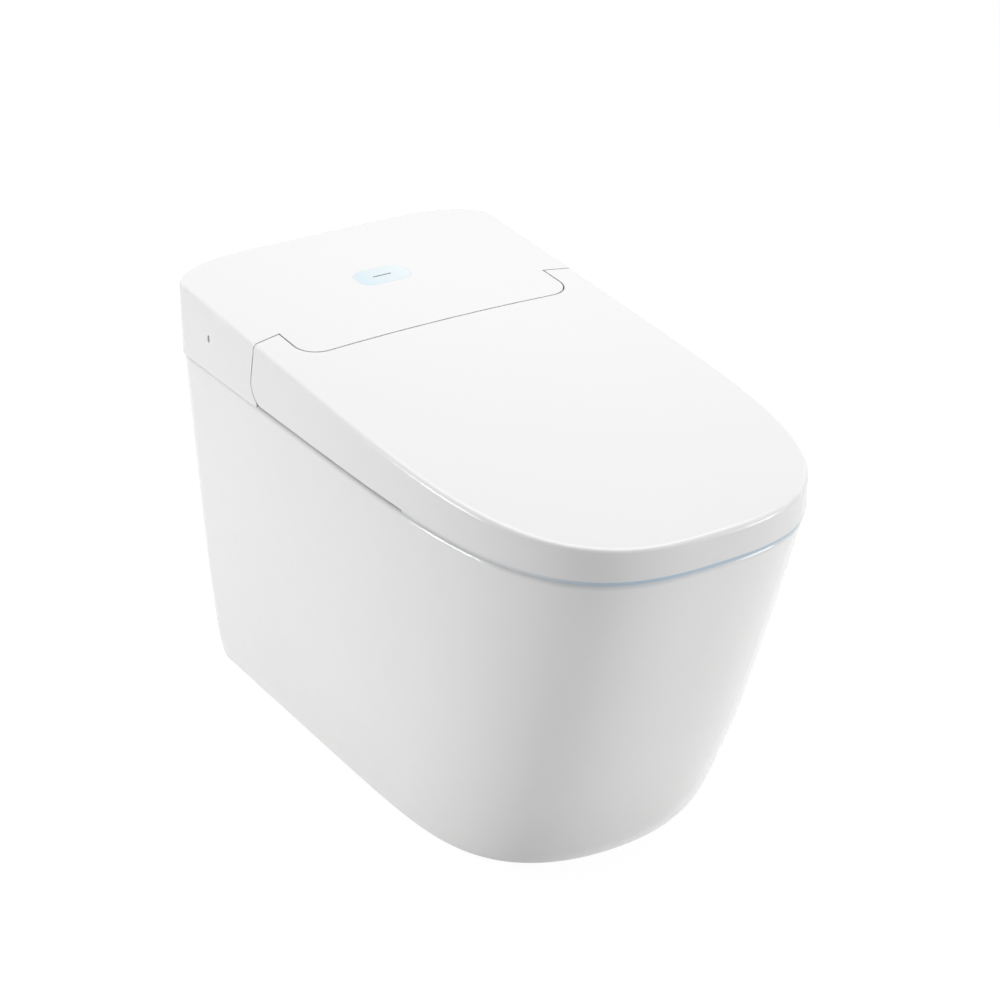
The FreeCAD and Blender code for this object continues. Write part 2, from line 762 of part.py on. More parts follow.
def night_light():
    """Light guide under the front of the seat: a lip below the lid's edge and a neck up to the seat."""
    z0 = rim_height + strip_rise
    z1 = z0 + strip_thickness
    lip = unit_prism(strip_inset, z0, z1)
    neck = unit_prism(strip_neck_inset, z1, seat_bottom)
    inner = unit_prism(strip_inset + strip_width, z0 - 1, seat_bottom + 1)
    return joined(lip, neck).cut(inner).common(ahead_of(strip_rear))


# ------------------------------------------------------------------ chassis and what it carries

def tilted(solid):
    """From the wands' own frame: its Y runs back up the wands, and its origin is their tips."""
    solid.rotate(V(0, 0, 0), V(1, 0, 0), wand_tilt)
    solid.translate(V(0, wand_tip_y, wand_tip_z))
    return solid


def ahead_of_apron():
    y = apron_y + apron_thickness
    low = slot_floor - 2 * front_reach
    return box(-unit_half_width, unit_half_width, y - 3 * front_reach, y, low, above_all)


def slide_rod(radius, x, start, end):
    return tilted(Part.makeCylinder(radius, end - start, V(x, start, 0), V(0, 1, 0)))


def tub_box(inset, z0, z1):
    gap = tub_play + inset
    side = deck_opening_half_width - gap
    return rounded_box(-side, side, deck_opening_front + gap, deck_opening_rear - gap, z0, z1,
                       tub_corner - inset)


def flush_rod(radius, y0, y1):
    return Part.makeCylinder(radius, y1 - y0, V(pipe_x, y0, pipe_z), V(0, 1, 0))


def flap_axis():
    return apron_y - flap_play - flap_knuckle_radius, flap_pin_z


def chassis():
    z0, z1 = rim_height, rim_height + plate_thickness
    plate_front = tongue_front + skin + plate_play
    plate = rounded_box(-plate_half_width, plate_half_width, plate_front, plate_rear, z0, z1,
                        tongue_corner - skin - plate_play)
    tub = tub_box(0, tub_floor, z1)
    left, right = slot_left + slot_play, slot_right - slot_play
    apron = box(left, right, apron_y, apron_y + apron_thickness, slot_floor, z0 + 2)
    shelf = box(left, right, apron_y, tongue_front - 0.5, z0, z0 + 2)
    cheeks = [box(x, x + cheek, apron_y, plate_front + 14, slot_floor, z0) for x in (left, right - cheek)]
    bearing = box(bearing_inner_x, bearing_outer_x, hinge_y - bearing_radius, hinge_y + bearing_radius,
                  z0, hinge_z).fuse(cross_rod(bearing_radius, bearing_inner_x, bearing_outer_x))
    tab = box(tab_x, tab_x + tab_thickness, screw_y - 8, screw_y + 8, z0, screw_z + 8)
    tab = tab.fuse(box(plate_half_width - 2, tab_x + 1, screw_y - 8, screw_y + 8, z0, z1))
    pin_y, pin_z = flap_axis()
    lugs = [box(x, x + 2, pin_y - 2.4, apron_y + 1, pin_z - 2.4, pin_z + 2.4)
            for x in (duct_left - 2, duct_right)]
    body = joined(plate, tub, apron, shelf, bearing, mirrored(bearing), tab, mirrored(tab), *(cheeks + lugs))
    passage = box(left + cheek, right - cheek, plate_front - 1, deck_opening_front - 10, z0 - 1, z1 + 1)
    shaft = cross_rod(shaft_radius, bearing_inner_x - 1, bearing_outer_x + 1)
    screw = cross_rod(screw_radius, tab_x - 1, tab_x + 20, screw_y, screw_z)
    holes = [slide_rod(wand_radius + 0.6, x, -front_reach, 10) for x in wand_places()]
    outlet = tilted(box(duct_left + duct_wall, duct_right - duct_wall, -front_reach, 10,
                        -duct_half_height + duct_wall, duct_half_height - duct_wall))
    pin = cross_rod(flap_pin_radius, duct_left - 3, duct_right + 3, pin_y, pin_z)
    room = tub_box(tub_wall, tub_floor + tub_wall, z1 + 1)
    notch = box(left + cheek, right - cheek, deck_opening_front - 11, deck_opening_front + 12, z0 - 1, z1 + 1)
    pipe = flush_rod(pipe_radius, deck_opening_front, deck_opening_front + 20)
    return body.cut([room, passage, notch, shaft, mirrored(shaft), screw, mirrored(screw), outlet, pin,
                     pipe] + holes)


def hinge_shafts():
    return pair(cross_rod(shaft_radius, bearing_inner_x, lid_lug_outer_x + 1))


def damper(side):
    solid = cross_rod(damper_radius, bearing_inner_x - damper_length, bearing_inner_x)
    cap = cross_rod(damper_radius - 3, bearing_inner_x - damper_length - 4, bearing_inner_x - damper_length)
    solid = joined(solid, cap)
    return solid if side > 0 else mirrored(solid)


def wand_places():
    return (-wand_spacing / 2, wand_spacing / 2)


def wand_housing():
    block = tilted(box(-wand_box_half_width, wand_box_half_width, -front_reach, wand_box_length,
                       -wand_box_half_height, wand_box_half_height))
    block = block.cut(ahead_of_apron())
    return block.cut([slide_rod(wand_radius + wand_play, x, -front_reach - 1, wand_length + 2)
                      for x in wand_places()])


def wand(x, jets):
    rod = slide_rod(wand_radius, x, 0, wand_length)
    nose = [e for e in rod.Edges if e.BoundBox.YMax < wand_tip_y + wand_radius and len(e.Vertexes) == 1]
    rod = rod.makeFillet(3.0, nose)
    flat = tilted(box(x - 10, x + 10, 4, 16, wand_radius - 1.2, wand_radius + 5))
    holes = [tilted(Part.makeCylinder(0.8, 6, V(x + dx, 10 + ds, wand_radius - 5)))
             for dx, ds in jets]
    return rod.cut([flat] + holes)


def wand_motors():
    size = wand_motor_size
    motor = tilted(box(wand_motor_inner, wand_motor_outer, wand_motor_start, wand_motor_start + size,
                       -wand_box_half_height - size, -wand_box_half_height))
    return pair(motor)


def fan_centre():
    """Middle of the dryer's fan: the duct's upper side runs on into the scroll's."""
    tilt = math.radians(wand_tilt)
    drop = scroll_radius - duct_half_height
    z = wand_tip_z + (scroll_y - wand_tip_y) * math.tan(tilt)
    return scroll_y + drop * math.sin(tilt), z - drop * math.cos(tilt)


def dryer_housing():
    y, z = fan_centre()
    tilt = math.radians(wand_tilt)
    end = (scroll_y - wand_tip_y) / math.cos(tilt)

    def shape(inset, front):
        duct = tilted(box(duct_left + inset, duct_right - inset, front, end,
                          -duct_half_height + inset, duct_half_height - inset))
        return duct.fuse(cross_rod(scroll_radius - inset, duct_left + inset, duct_right - inset, y, z))
    shell = shape(0, -front_reach).cut(shape(duct_wall, -front_reach - 1))
    shell = shell.cut(ahead_of_apron())
    intake = cross_rod(fan_radius * 0.6, duct_left - 1, duct_left + duct_wall + 1, y, z)
    shaft_hole = cross_rod(fan_shaft_radius + 1, duct_right - duct_wall - 1, duct_right + 1, y, z)
    return shell.cut([intake, shaft_hole])


def dryer_fan():
    """Squirrel-cage rotor with its shaft."""
    y, z = fan_centre()
    x0, x1 = duct_left + duct_wall + fan_play, duct_right - duct_wall - fan_play
    back_plate = cross_rod(fan_radius, x1 - 2, x1, y, z)
    ring = cross_rod(fan_radius, x0, x0 + 2, y, z).cut(cross_rod(fan_radius - 5, x0 - 1, x0 + 3, y, z))
    hub = cross_rod(5, x1 - 12, x1, y, z)
    shaft = cross_rod(fan_shaft_radius, x1 - 10, duct_right + dryer_motor_length * 0.6, y, z)
    blades = []
    for i in range(fan_blades):
        blade = Part.makeBox(x1 - x0 - 2, 1.0, 5.4, V(x0 + 1, -0.5, -2.7))
        blade.rotate(V(0, 0, 0), V(1, 0, 0), 35)
        blade.translate(V(0, 0, fan_radius - 2.6))
        blade.rotate(V(0, 0, 0), V(1, 0, 0), 360.0 * i / fan_blades)
        blade.translate(V(0, y, z))
        blades.append(blade)
    rim = cross_rod(fan_radius, x0 - 1, x1 + 1, y, z)
    blades = [blade.common(rim) for blade in blades]
    return back_plate.fuse([ring, hub, shaft] + blades)


def dryer_motor():
    y, z = fan_centre()
    can = cross_rod(dryer_motor_radius, duct_right, duct_right + dryer_motor_length, y, z)
    return can.cut(cross_rod(fan_shaft_radius + running_gap, duct_right - 1,
                             duct_right + dryer_motor_length * 0.6 + 0.5, y, z))


def dryer_flap():
    y, z = flap_axis()
    x0, x1 = duct_left + 0.4, duct_right - 0.4
    plate = box(x0, x1, apron_y - flap_play - flap_thickness, apron_y - flap_play, slot_floor + 2.5, z)
    knuckle = cross_rod(flap_knuckle_radius, x0, x1, y, z)
    bore = cross_rod(flap_pin_radius + running_gap, x0 - 1, x1 + 1, y, z)
    return joined(plate, knuckle).cut(bore)


def flap_pin():
    y, z = flap_axis()
    return cross_rod(flap_pin_radius, duct_left - 2, duct_right + 2, y, z)


def flush_pump():
    z0 = tub_floor + tub_wall
    volute = post(pump_radius, pump_x, pump_y, z0, z0 + pump_height * 0.55)
    motor = post(pump_radius * 0.72, pump_x, pump_y, z0 + pump_height * 0.55, z0 + pump_height)
    flange = post(pump_radius * 0.85, pump_x, pump_y, z0 + pump_height * 0.5, z0 + pump_height * 0.62)
    return joined(volute, motor, flange)


def flush_pipe():
    start = apron_y - 120
    bore = flush_rod(pipe_radius - pipe_wall, start - 1, pump_y + 1)
    tube = flush_rod(pipe_radius, start, pump_y).cut([bore, bowl_solid(0.0), flush_pump()])
    return max(tube.Solids, key=lambda s: s.BoundBox.YLength)


def tub_module(x0, x1, y0, y1, height, radius):
    z0 = tub_floor + tub_wall
    return rounded_box(x0, x1, y0, y1, z0, z0 + height, radius)


def water_heater():
    x0, x1, y0, y1 = heater_box
    tank = tub_module(x0, x1, y0, y1, heater_height, 8)
    z = tub_floor + tub_wall + heater_height
    stubs = [post(4, (x0 + x1) / 2, y, z, z + 12) for y in (y0 + 15, y1 - 15)]
    return joined(tank, *stubs)


def control_board():
    x0, x1, y0, y1 = board_box
    z0 = tub_floor + tub_wall
    board = box(x0, x0 + board_thickness, y0, y1, z0, z0 + control_board_height)
    chips = [box(x0 + board_thickness, x1, y, y + 14, z, z + 10)
             for y in (y0 + 8, y0 + 38, y0 + 68) for z in (z0 + 20, z0 + 50)]
    return joined(board, *chips)


def inlet_valve():
    x, y = inlet_place
    body = tub_module(x - 16, x + 16, y - 9, y + 9, 30, 3)
    coil = post(8, x, y, tub_floor + tub_wall + 30, tub_floor + tub_wall + 48)
    return joined(body, coil)


def inlet_connector():
    """Threaded water connection that points down under the tub."""
    x, y = inlet_place
    stem = post(inlet_radius, x, y, tub_floor - inlet_length, tub_floor)
    collar = post(inlet_radius + 4, x, y, tub_floor - 8, tub_floor)
    return joined(stem, collar).cut(post(inlet_radius - 3, x, y, tub_floor - inlet_length - 1, tub_floor - 4))


def power_gland():
    x, y = gland_place
    gland = post(9, x, y, tub_floor - 16, tub_floor).fuse(post(12, x, y, tub_floor - 5, tub_floor))
    return gland.removeSplitter().cut(post(4, x, y, tub_floor - 17, tub_floor + 1))


# ------------------------------------------------------------------ pieces

pieces = {
    "ceramic_pan": pan,
    "outlet_seal": outlet_seal,
    "floor_brackets": floor_brackets,
    "rear_cover": rear_cover,
    "display_window": display_window,
    "sensor_window": sensor_window,
    "display_board": display_board,
    "cover_screws": cover_screws,
    "lid_shell": lid_shell,
    "lid_liner": lid_liner,
    "lid_buffers": lid_buffers,
    "seat_top": seat_top,
    "seat_base": seat_base,
    "seat_heater": seat_heater,
    "seat_buffers": seat_buffers,
    "night_light": night_light,
    "chassis": chassis,
    "hinge_shafts": hinge_shafts,
    "seat_damper": lambda: damper(-1),
    "lid_damper": lambda: damper(1),
    "wand_housing": wand_housing,
    "rear_wash_wand": lambda: wand(wand_places()[0], ((0, 0), (-2.5, 3), (2.5, 3))),
    "front_wash_wand": lambda: wand(wand_places()[1], ((-2, 0), (2, 0), (-2, 4), (2, 4), (0, 2))),
    "wand_motors": wand_motors,
    "dryer_housing": dryer_housing,
    "dryer_fan": dryer_fan,
    "dryer_motor": dryer_motor,
    "dryer_flap": dryer_flap,
    "flap_pin": flap_pin,
    "flush_pump": flush_pump,
    "flush_pipe": flush_pipe,
    "water_heater": water_heater,
    "air_pump": lambda: tub_module(*air_pump_box, air_pump_height, 6),
    "power_supply": lambda: tub_module(*power_box, power_height, 3),
    "control_board": control_board,
    "inlet_valve": inlet_valve,
    "inlet_connector": inlet_connector,
    "power_gland": power_gland,
}

for name, make in pieces.items():
    save(name, make())
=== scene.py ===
import json
import math
import bpy
import bmesh
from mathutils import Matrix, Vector


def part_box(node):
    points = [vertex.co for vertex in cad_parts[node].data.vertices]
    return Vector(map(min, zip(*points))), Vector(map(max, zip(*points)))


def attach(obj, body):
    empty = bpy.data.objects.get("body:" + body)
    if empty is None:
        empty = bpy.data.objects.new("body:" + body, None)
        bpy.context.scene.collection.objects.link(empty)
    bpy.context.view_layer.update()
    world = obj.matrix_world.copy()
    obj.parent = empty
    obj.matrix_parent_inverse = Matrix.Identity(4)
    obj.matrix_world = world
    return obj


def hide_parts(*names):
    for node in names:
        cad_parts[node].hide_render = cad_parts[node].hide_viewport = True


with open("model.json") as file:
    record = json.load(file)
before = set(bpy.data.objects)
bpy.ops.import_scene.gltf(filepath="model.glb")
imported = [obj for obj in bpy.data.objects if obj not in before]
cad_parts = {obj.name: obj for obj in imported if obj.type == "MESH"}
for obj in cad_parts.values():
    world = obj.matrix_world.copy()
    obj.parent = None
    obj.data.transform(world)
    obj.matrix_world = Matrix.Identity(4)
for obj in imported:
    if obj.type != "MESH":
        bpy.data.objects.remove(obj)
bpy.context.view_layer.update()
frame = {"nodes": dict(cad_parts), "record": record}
nodes = frame["nodes"]
print("frame loaded:", len(nodes), "nodes")


# Camera, lamps and floor. Places are in metres, the camera's two angles in degrees.

cameraSetup = {
    "place": (-1.3544, -2.1223, 1.5604),
    "azimuth": -32.515,
    "elevation": 26.709,
    "lens": 100.09,
    "sensor": 36.0,
    "clip": (0.05, 60.0),
}

lampSetup = {
    "overhead": {"place": (0.15, 0.25, 2.5), "aim": (0.0, 0.0, 0.45), "size": 2.4, "watts": 44.5},
    "leftLow": {"place": (-1.8, 0.9, 0.16), "aim": (-0.16, 0.14, 0.12), "size": 0.7, "watts": 14.5},
    "rightLow": {"place": (1.9, -2.0, 0.35), "aim": (0.1, -0.25, 0.2), "size": 1.0, "watts": 24.0},
}

stageSetup = {
    "floorSize": 24.0,
    "floorDrop": 0.0002,
    "floorColor": (0.90, 0.90, 0.90, 1.0),
    "whiteShare": 0.82,
    "whiteStrength": 1.12,
    "ambient": 0.315,
}


def deselectAll():
    if bpy.context.mode != "OBJECT":
        bpy.ops.object.mode_set(mode="OBJECT")
    bpy.ops.object.select_all(action="DESELECT")


def makeCamera(setup):
    azimuth, elevation = math.radians(setup["azimuth"]), math.radians(setup["elevation"])
    back = Vector((math.sin(azimuth) * math.cos(elevation),
                   -math.cos(azimuth) * math.cos(elevation),
                   math.sin(elevation)))
    bpy.ops.object.camera_add(location=setup["place"])
    camera = bpy.context.object
    camera.name = "photoCamera"
    camera.rotation_mode = "QUATERNION"
    camera.rotation_quaternion = (-back).to_track_quat("-Z", "Y")
    camera.data.lens = setup["lens"]
    camera.data.sensor_width = setup["sensor"]
    camera.data.clip_start, camera.data.clip_end = setup["clip"]
    bpy.context.scene.camera = camera


def makeLamps(setup):
    for name, values in setup.items():
        bpy.ops.object.light_add(type="AREA", location=values["place"])
        lamp = bpy.context.object
        lamp.name = name
        lamp.data.size = values["size"]
        lamp.data.energy = values["watts"]
        aim = Vector(values["aim"]) - Vector(values["place"])
        lamp.rotation_mode = "QUATERNION"
        lamp.rotation_quaternion = aim.to_track_quat("-Z", "Y")


def seenDirectly(tree):
    # 1 for camera, glossy and transmission rays, 0 for the rays that carry light
    path = tree.nodes.new("ShaderNodeLightPath")
    first = tree.nodes.new("ShaderNodeMath")
    second = tree.nodes.new("ShaderNodeMath")
    first.operation = second.operation = "MAXIMUM"
    tree.links.new(path.outputs["Is Camera Ray"], first.inputs[0])
    tree.links.new(path.outputs["Is Glossy Ray"], first.inputs[1])
    tree.links.new(first.outputs[0], second.inputs[0])
    tree.links.new(path.outputs["Is Transmission Ray"], second.inputs[1])
    return second.outputs[0]


def makeWorld(setup):
    world = bpy.data.worlds.new("studioWorld")
    bpy.context.scene.world = world
    world.use_nodes = True
    tree = world.node_tree
    tree.nodes.clear()
    out = tree.nodes.new("ShaderNodeOutputWorld")
    mix = tree.nodes.new("ShaderNodeMixShader")
    soft = tree.nodes.new("ShaderNodeBackground")
    white = tree.nodes.new("ShaderNodeBackground")
    soft.inputs["Color"].default_value = (1.0, 1.0, 1.0, 1.0)
    soft.inputs["Strength"].default_value = setup["ambient"]
    white.inputs["Color"].default_value = (1.0, 1.0, 1.0, 1.0)
    white.inputs["Strength"].default_value = 1.0
    tree.links.new(seenDirectly(tree), mix.inputs[0])
    tree.links.new(soft.outputs[0], mix.inputs[1])
    tree.links.new(white.outputs[0], mix.inputs[2])
    tree.links.new(mix.outputs[0], out.inputs["Surface"])


def makeFloor(setup):
    deselectAll()
    bpy.ops.mesh.primitive_plane_add(size=setup["floorSize"], location=(0, 0, -setup["floorDrop"]))
    floor = bpy.context.object
    floor.name = "studioFloor"
    material = bpy.data.materials.new("paleFloor")
    material.use_nodes = True
    tree = material.node_tree
    tree.nodes.clear()
    out = tree.nodes.new("ShaderNodeOutputMaterial")
    plain = tree.nodes.new("ShaderNodeBsdfDiffuse")
    glow = tree.nodes.new("ShaderNodeEmission")
    shaded = tree.nodes.new("ShaderNodeMixShader")
    mix = tree.nodes.new("ShaderNodeMixShader")
    plain.inputs["Color"].default_value = setup["floorColor"]
    glow.inputs["Color"].default_value = (1.0, 1.0, 1.0, 1.0)
    glow.inputs["Strength"].default_value = setup["whiteStrength"]
    shaded.inputs[0].default_value = setup["whiteShare"]
    tree.links.new(plain.outputs[0], shaded.inputs[1])
    tree.links.new(glow.outputs[0], shaded.inputs[2])
    tree.links.new(seenDirectly(tree), mix.inputs[0])
    tree.links.new(plain.outputs[0], mix.inputs[1])
    tree.links.new(shaded.outputs[0], mix.inputs[2])
    tree.links.new(mix.outputs[0], out.inputs["Surface"])
    floor.data.materials.append(material)


bpy.context.scene.view_settings.view_transform = "Standard"
makeCamera(cameraSetup)
makeLamps(lampSetup)
makeWorld(stageSetup)
makeFloor(stageSetup)
print("camera, lamps and floor placed")


# Short ways to add nodes, for the effects and the materials.
# A value may be a number, a colour or another node's output.

def giveValue(tree, socket, value):
    if isinstance(value, (int, float, tuple)):
        socket.default_value = value
    else:
        tree.links.new(value, socket)


def objectCoords(tree, scale=None):
    coords = tree.nodes.new("ShaderNodeTexCoord").outputs["Object"]
    if scale is None:
        return coords
    mapping = tree.nodes.new("ShaderNodeMapping")
    tree.links.new(coords, mapping.inputs["Vector"])
    mapping.inputs["Scale"].default_value = scale
    return mapping.outputs[0]


def addNoise(tree, scale, detail=2.0, roughness=0.5, stretch=None):
    node = tree.nodes.new("ShaderNodeTexNoise")
    tree.links.new(objectCoords(tree, stretch), node.inputs["Vector"])
    giveValue(tree, node.inputs["Scale"], scale)
    node.inputs["Detail"].default_value = detail
    node.inputs["Roughness"].default_value = roughness
    return node.outputs["Fac"]


def addCells(tree, scale):
    node = tree.nodes.new("ShaderNodeTexVoronoi")
    tree.links.new(objectCoords(tree), node.inputs["Vector"])
    giveValue(tree, node.inputs["Scale"], scale)
    return node.outputs["Distance"]


def addMath(tree, operation, first, second=0.0, clamp=False):
    node = tree.nodes.new("ShaderNodeMath")
    node.operation = operation
    node.use_clamp = clamp
    giveValue(tree, node.inputs[0], first)
    giveValue(tree, node.inputs[1], second)
    return node.outputs[0]


def addRange(tree, value, low, high, toLow=0.0, toHigh=1.0):
    node = tree.nodes.new("ShaderNodeMapRange")
    tree.links.new(value, node.inputs["Value"])
    for socket, number in (("From Min", low), ("From Max", high), ("To Min", toLow), ("To Max", toHigh)):
        node.inputs[socket].default_value = number
    return node.outputs[0]


def addBlend(tree, share, first, second):
    node = tree.nodes.new("ShaderNodeMix")
    node.data_type = "RGBA"
    giveValue(tree, node.inputs["Factor"], share)
    giveValue(tree, node.inputs["A"], first)
    giveValue(tree, node.inputs["B"], second)
    return node.outputs["Result"]


def addSpread(tree, base, amount, mask):
    # base, and half of amount to either side of it where the mask is dark or light
    offset = addMath(tree, "MULTIPLY", amount, addMath(tree, "SUBTRACT", mask, 0.5))
    return addMath(tree, "ADD", base, offset, clamp=True)


def addRamp(tree, value, stops):
    ramp = tree.nodes.new("ShaderNodeValToRGB")
    elements = ramp.color_ramp.elements
    while len(elements) < len(stops):
        elements.new(0.5)
    for element, (position, color) in zip(elements, stops):
        element.position = position
        element.color = color
    tree.links.new(value, ramp.inputs["Fac"])
    return ramp.outputs["Color"]


# Effects that more than one material uses, each a node group with named inputs.

socketKinds = {"value": "NodeSocketFloat", "color": "NodeSocketColor"}


def startEffect(name, inputs, outputs):
    tree = bpy.data.node_groups.new(name, "ShaderNodeTree")
    for socket, (kind, value) in inputs.items():
        made = tree.interface.new_socket(name=socket, in_out="INPUT", socket_type=socketKinds[kind])
        made.default_value = value
    for socket, kind in outputs.items():
        tree.interface.new_socket(name=socket, in_out="OUTPUT", socket_type=socketKinds[kind])
    return tree, tree.nodes.new("NodeGroupInput").outputs


def endEffect(tree, **values):
    sink = tree.nodes.new("NodeGroupOutput")
    for name, value in values.items():
        tree.links.new(value, sink.inputs[name])
    return tree


glazePattern = {
    "poolScale": 3.2,
    "pooled": (0.35, 0.7),           # noise values between which the tone deepens
    "pinScale": 150.0,
    "pinEdge": (0.035, 0.02),
    "pinColor": (0.45, 0.42, 0.38, 1),
    "pinDepth": 0.1,
    "patchScale": 31.0,
    "patchEdge": (0.62, 0.66),       # only some patches of the glaze have specks
    "fineScale": 170.0,
    "fineShare": 0.06,
    "polishScale": 9.0,
}


def glazeEffect(pattern):
    # fired glaze: a long ripple, a few pin specks, a deeper tone where it pooled
    tree, given = startEffect(
        "firedGlaze",
        {"Body": ("color", (0.86, 0.86, 0.86, 1)), "Pooled": ("color", (0.84, 0.84, 0.83, 1)),
         "Ripple Scale": ("value", 22.0), "Roughness": ("value", 0.1), "Spread": ("value", 0.04),
         "Speck Share": ("value", 0.25)},
        {"Color": "color", "Roughness": "value", "Height": "value"})
    pooled = addRange(tree, addNoise(tree, pattern["poolScale"]), *pattern["pooled"])
    tone = addBlend(tree, pooled, given["Body"], given["Pooled"])
    pins = addRange(tree, addCells(tree, pattern["pinScale"]), *pattern["pinEdge"])
    patches = addRange(tree, addNoise(tree, pattern["patchScale"], 0.0), *pattern["patchEdge"])
    specks = addMath(tree, "MULTIPLY", pins, patches)
    speckShare = addMath(tree, "MULTIPLY", specks, given["Speck Share"])
    fine = addMath(tree, "MULTIPLY", addNoise(tree, pattern["fineScale"], 1.0), pattern["fineShare"])
    ripple = addMath(tree, "ADD", addNoise(tree, given["Ripple Scale"], 1.0), fine)
    pits = addMath(tree, "MULTIPLY", specks, pattern["pinDepth"])
    polish = addNoise(tree, pattern["polishScale"], 3.0)
    return endEffect(tree, Color=addBlend(tree, speckShare, tone, pattern["pinColor"]),
                     Roughness=addSpread(tree, given["Roughness"], given["Spread"], polish),
                     Height=addMath(tree, "SUBTRACT", ripple, pits))


mouldPattern = {
    "flowScale": 4.0,
    "flowStretch": (1.0, 0.35, 1.0),
    "flow": (0.35, 0.7),
    "broadScale": 18.0,
    "broadShare": 0.7,
    "closeScale": 140.0,
    "closeShare": 0.3,
}


def mouldEffect(pattern):
    # injection moulding: fine grain, faint flow in the tone, uneven polish
    tree, given = startEffect(
        "mouldedPlastic",
        {"Body": ("color", (0.86, 0.86, 0.86, 1)), "Flow": ("color", (0.84, 0.84, 0.84, 1)),
         "Grain Scale": ("value", 1400.0), "Roughness": ("value", 0.25), "Spread": ("value", 0.06)},
        {"Color": "color", "Roughness": "value", "Height": "value"})
    drawn = addNoise(tree, pattern["flowScale"], stretch=pattern["flowStretch"])
    flow = addRange(tree, drawn, *pattern["flow"])
    broad = addMath(tree, "MULTIPLY", addNoise(tree, pattern["broadScale"], 3.0), pattern["broadShare"])
    close = addMath(tree, "MULTIPLY", addNoise(tree, pattern["closeScale"], 1.0), pattern["closeShare"])
    polish = addMath(tree, "ADD", broad, close)
    return endEffect(tree, Color=addBlend(tree, flow, given["Body"], given["Flow"]),
                     Roughness=addSpread(tree, given["Roughness"], given["Spread"], polish),
                     Height=addNoise(tree, given["Grain Scale"]))


wipedPattern = {
    "smearScale": 7.0,
    "smearStretch": (1.0, 0.5, 1.0),
    "smearEdge": (0.45, 0.72),
    "hairScale": 60.0,
    "hairStretch": (0.5, 14.0, 1.0),
    "hairEdge": (0.70, 0.74),
    "patchScale": 11.0,
    "patchEdge": (0.55, 0.65),       # only some patches are scuffed
}


def wipedEffect(pattern):
    # smears and hairline scuffs of a surface that is wiped and handled
    tree, given = startEffect(
        "wipedSurface",
        {"Roughness": ("value", 0.2), "Smear": ("value", 0.08), "Scuff": ("value", 0.12)},
        {"Roughness": "value"})
    wiping = addNoise(tree, pattern["smearScale"], 3.0, 0.6, pattern["smearStretch"])
    smear = addRange(tree, wiping, *pattern["smearEdge"])
    hairs = addNoise(tree, pattern["hairScale"], 1.0, 0.5, pattern["hairStretch"])
    patches = addRange(tree, addNoise(tree, pattern["patchScale"], 1.0), *pattern["patchEdge"])
    scuffs = addMath(tree, "MULTIPLY", addRange(tree, hairs, *pattern["hairEdge"]), patches)
    marks = addMath(tree, "ADD", addMath(tree, "MULTIPLY", smear, given["Smear"]),
                    addMath(tree, "MULTIPLY", scuffs, given["Scuff"]))
    return endEffect(tree, Roughness=addMath(tree, "ADD", given["Roughness"], marks, clamp=True))


brushPattern = {
    "lineStretch": (30.0, 1.0, 30.0),
    "tarnishScale": 45.0,
    "tarnishEdge": (0.52, 0.75),
}


def brushEffect(pattern):
    # drawn or turned metal: fine lines one way, spots of tarnish
    tree, given = startEffect(
        "brushedMetal",
        {"Metal": ("color", (0.6, 0.6, 0.6, 1)), "Tarnish": ("color", (0.4, 0.38, 0.35, 1)),
         "Line Scale": ("value", 40.0), "Roughness": ("value", 0.3), "Spread": ("value", 0.2)},
        {"Color": "color", "Roughness": "value", "Height": "value"})
    lines = addNoise(tree, given["Line Scale"], 3.0, 0.5, pattern["lineStretch"])
    tarnish = addRange(tree, addNoise(tree, pattern["tarnishScale"], 4.0, 0.6), *pattern["tarnishEdge"])
    return endEffect(tree, Color=addBlend(tree, tarnish, given["Metal"], given["Tarnish"]),
                     Roughness=addSpread(tree, given["Roughness"], given["Spread"], lines), Height=lines)


rubberPattern = {
    "bloomScale": 60.0,
    "bloomEdge": (0.42, 0.75),
    "bloomRoughness": 0.15,
}


def rubberEffect(pattern):
    # soft rubber: fine pores under a chalky bloom
    tree, given = startEffect(
        "softRubber",
        {"Body": ("color", (0.1, 0.1, 0.1, 1)), "Bloom": ("color", (0.2, 0.2, 0.2, 1)),
         "Pore Scale": ("value", 900.0), "Roughness": ("value", 0.7)},
        {"Color": "color", "Roughness": "value", "Height": "value"})
    bloom = addRange(tree, addNoise(tree, pattern["bloomScale"], 4.0, 0.6), *pattern["bloomEdge"])
    return endEffect(tree, Color=addBlend(tree, bloom, given["Body"], given["Bloom"]),
                     Roughness=addSpread(tree, given["Roughness"], pattern["bloomRoughness"], bloom),
                     Height=addNoise(tree, given["Pore Scale"], 1.0))


dustPattern = {
    "facing": (0.3, 1.0),            # how far up a face has to look to hold dust
    "patchScale": 55.0,
    "patchEdge": (0.35, 0.8),
    "dullness": 0.6,
}


def dustEffect(pattern):
    # dust that settles inside the housing, on what faces up
    tree, given = startEffect(
        "settledDust",
        {"Color": ("color", (0.5, 0.5, 0.5, 1)), "Dust": ("color", (0.55, 0.53, 0.5, 1)),
         "Amount": ("value", 0.3), "Roughness": ("value", 0.4)},
        {"Color": "color", "Roughness": "value"})
    facing = tree.nodes.new("ShaderNodeSeparateXYZ")
    tree.links.new(tree.nodes.new("ShaderNodeTexCoord").outputs["Normal"], facing.inputs[0])
    upward = addRange(tree, facing.outputs["Z"], *pattern["facing"])
    patchy = addRange(tree, addNoise(tree, pattern["patchScale"], 5.0, 0.65), *pattern["patchEdge"])
    share = addMath(tree, "MULTIPLY", addMath(tree, "MULTIPLY", upward, patchy), given["Amount"])
    matt = addMath(tree, "MULTIPLY", share, pattern["dullness"])
    return endEffect(tree, Color=addBlend(tree, share, given["Color"], given["Dust"]),
                     Roughness=addMath(tree, "ADD", given["Roughness"], matt, clamp=True))


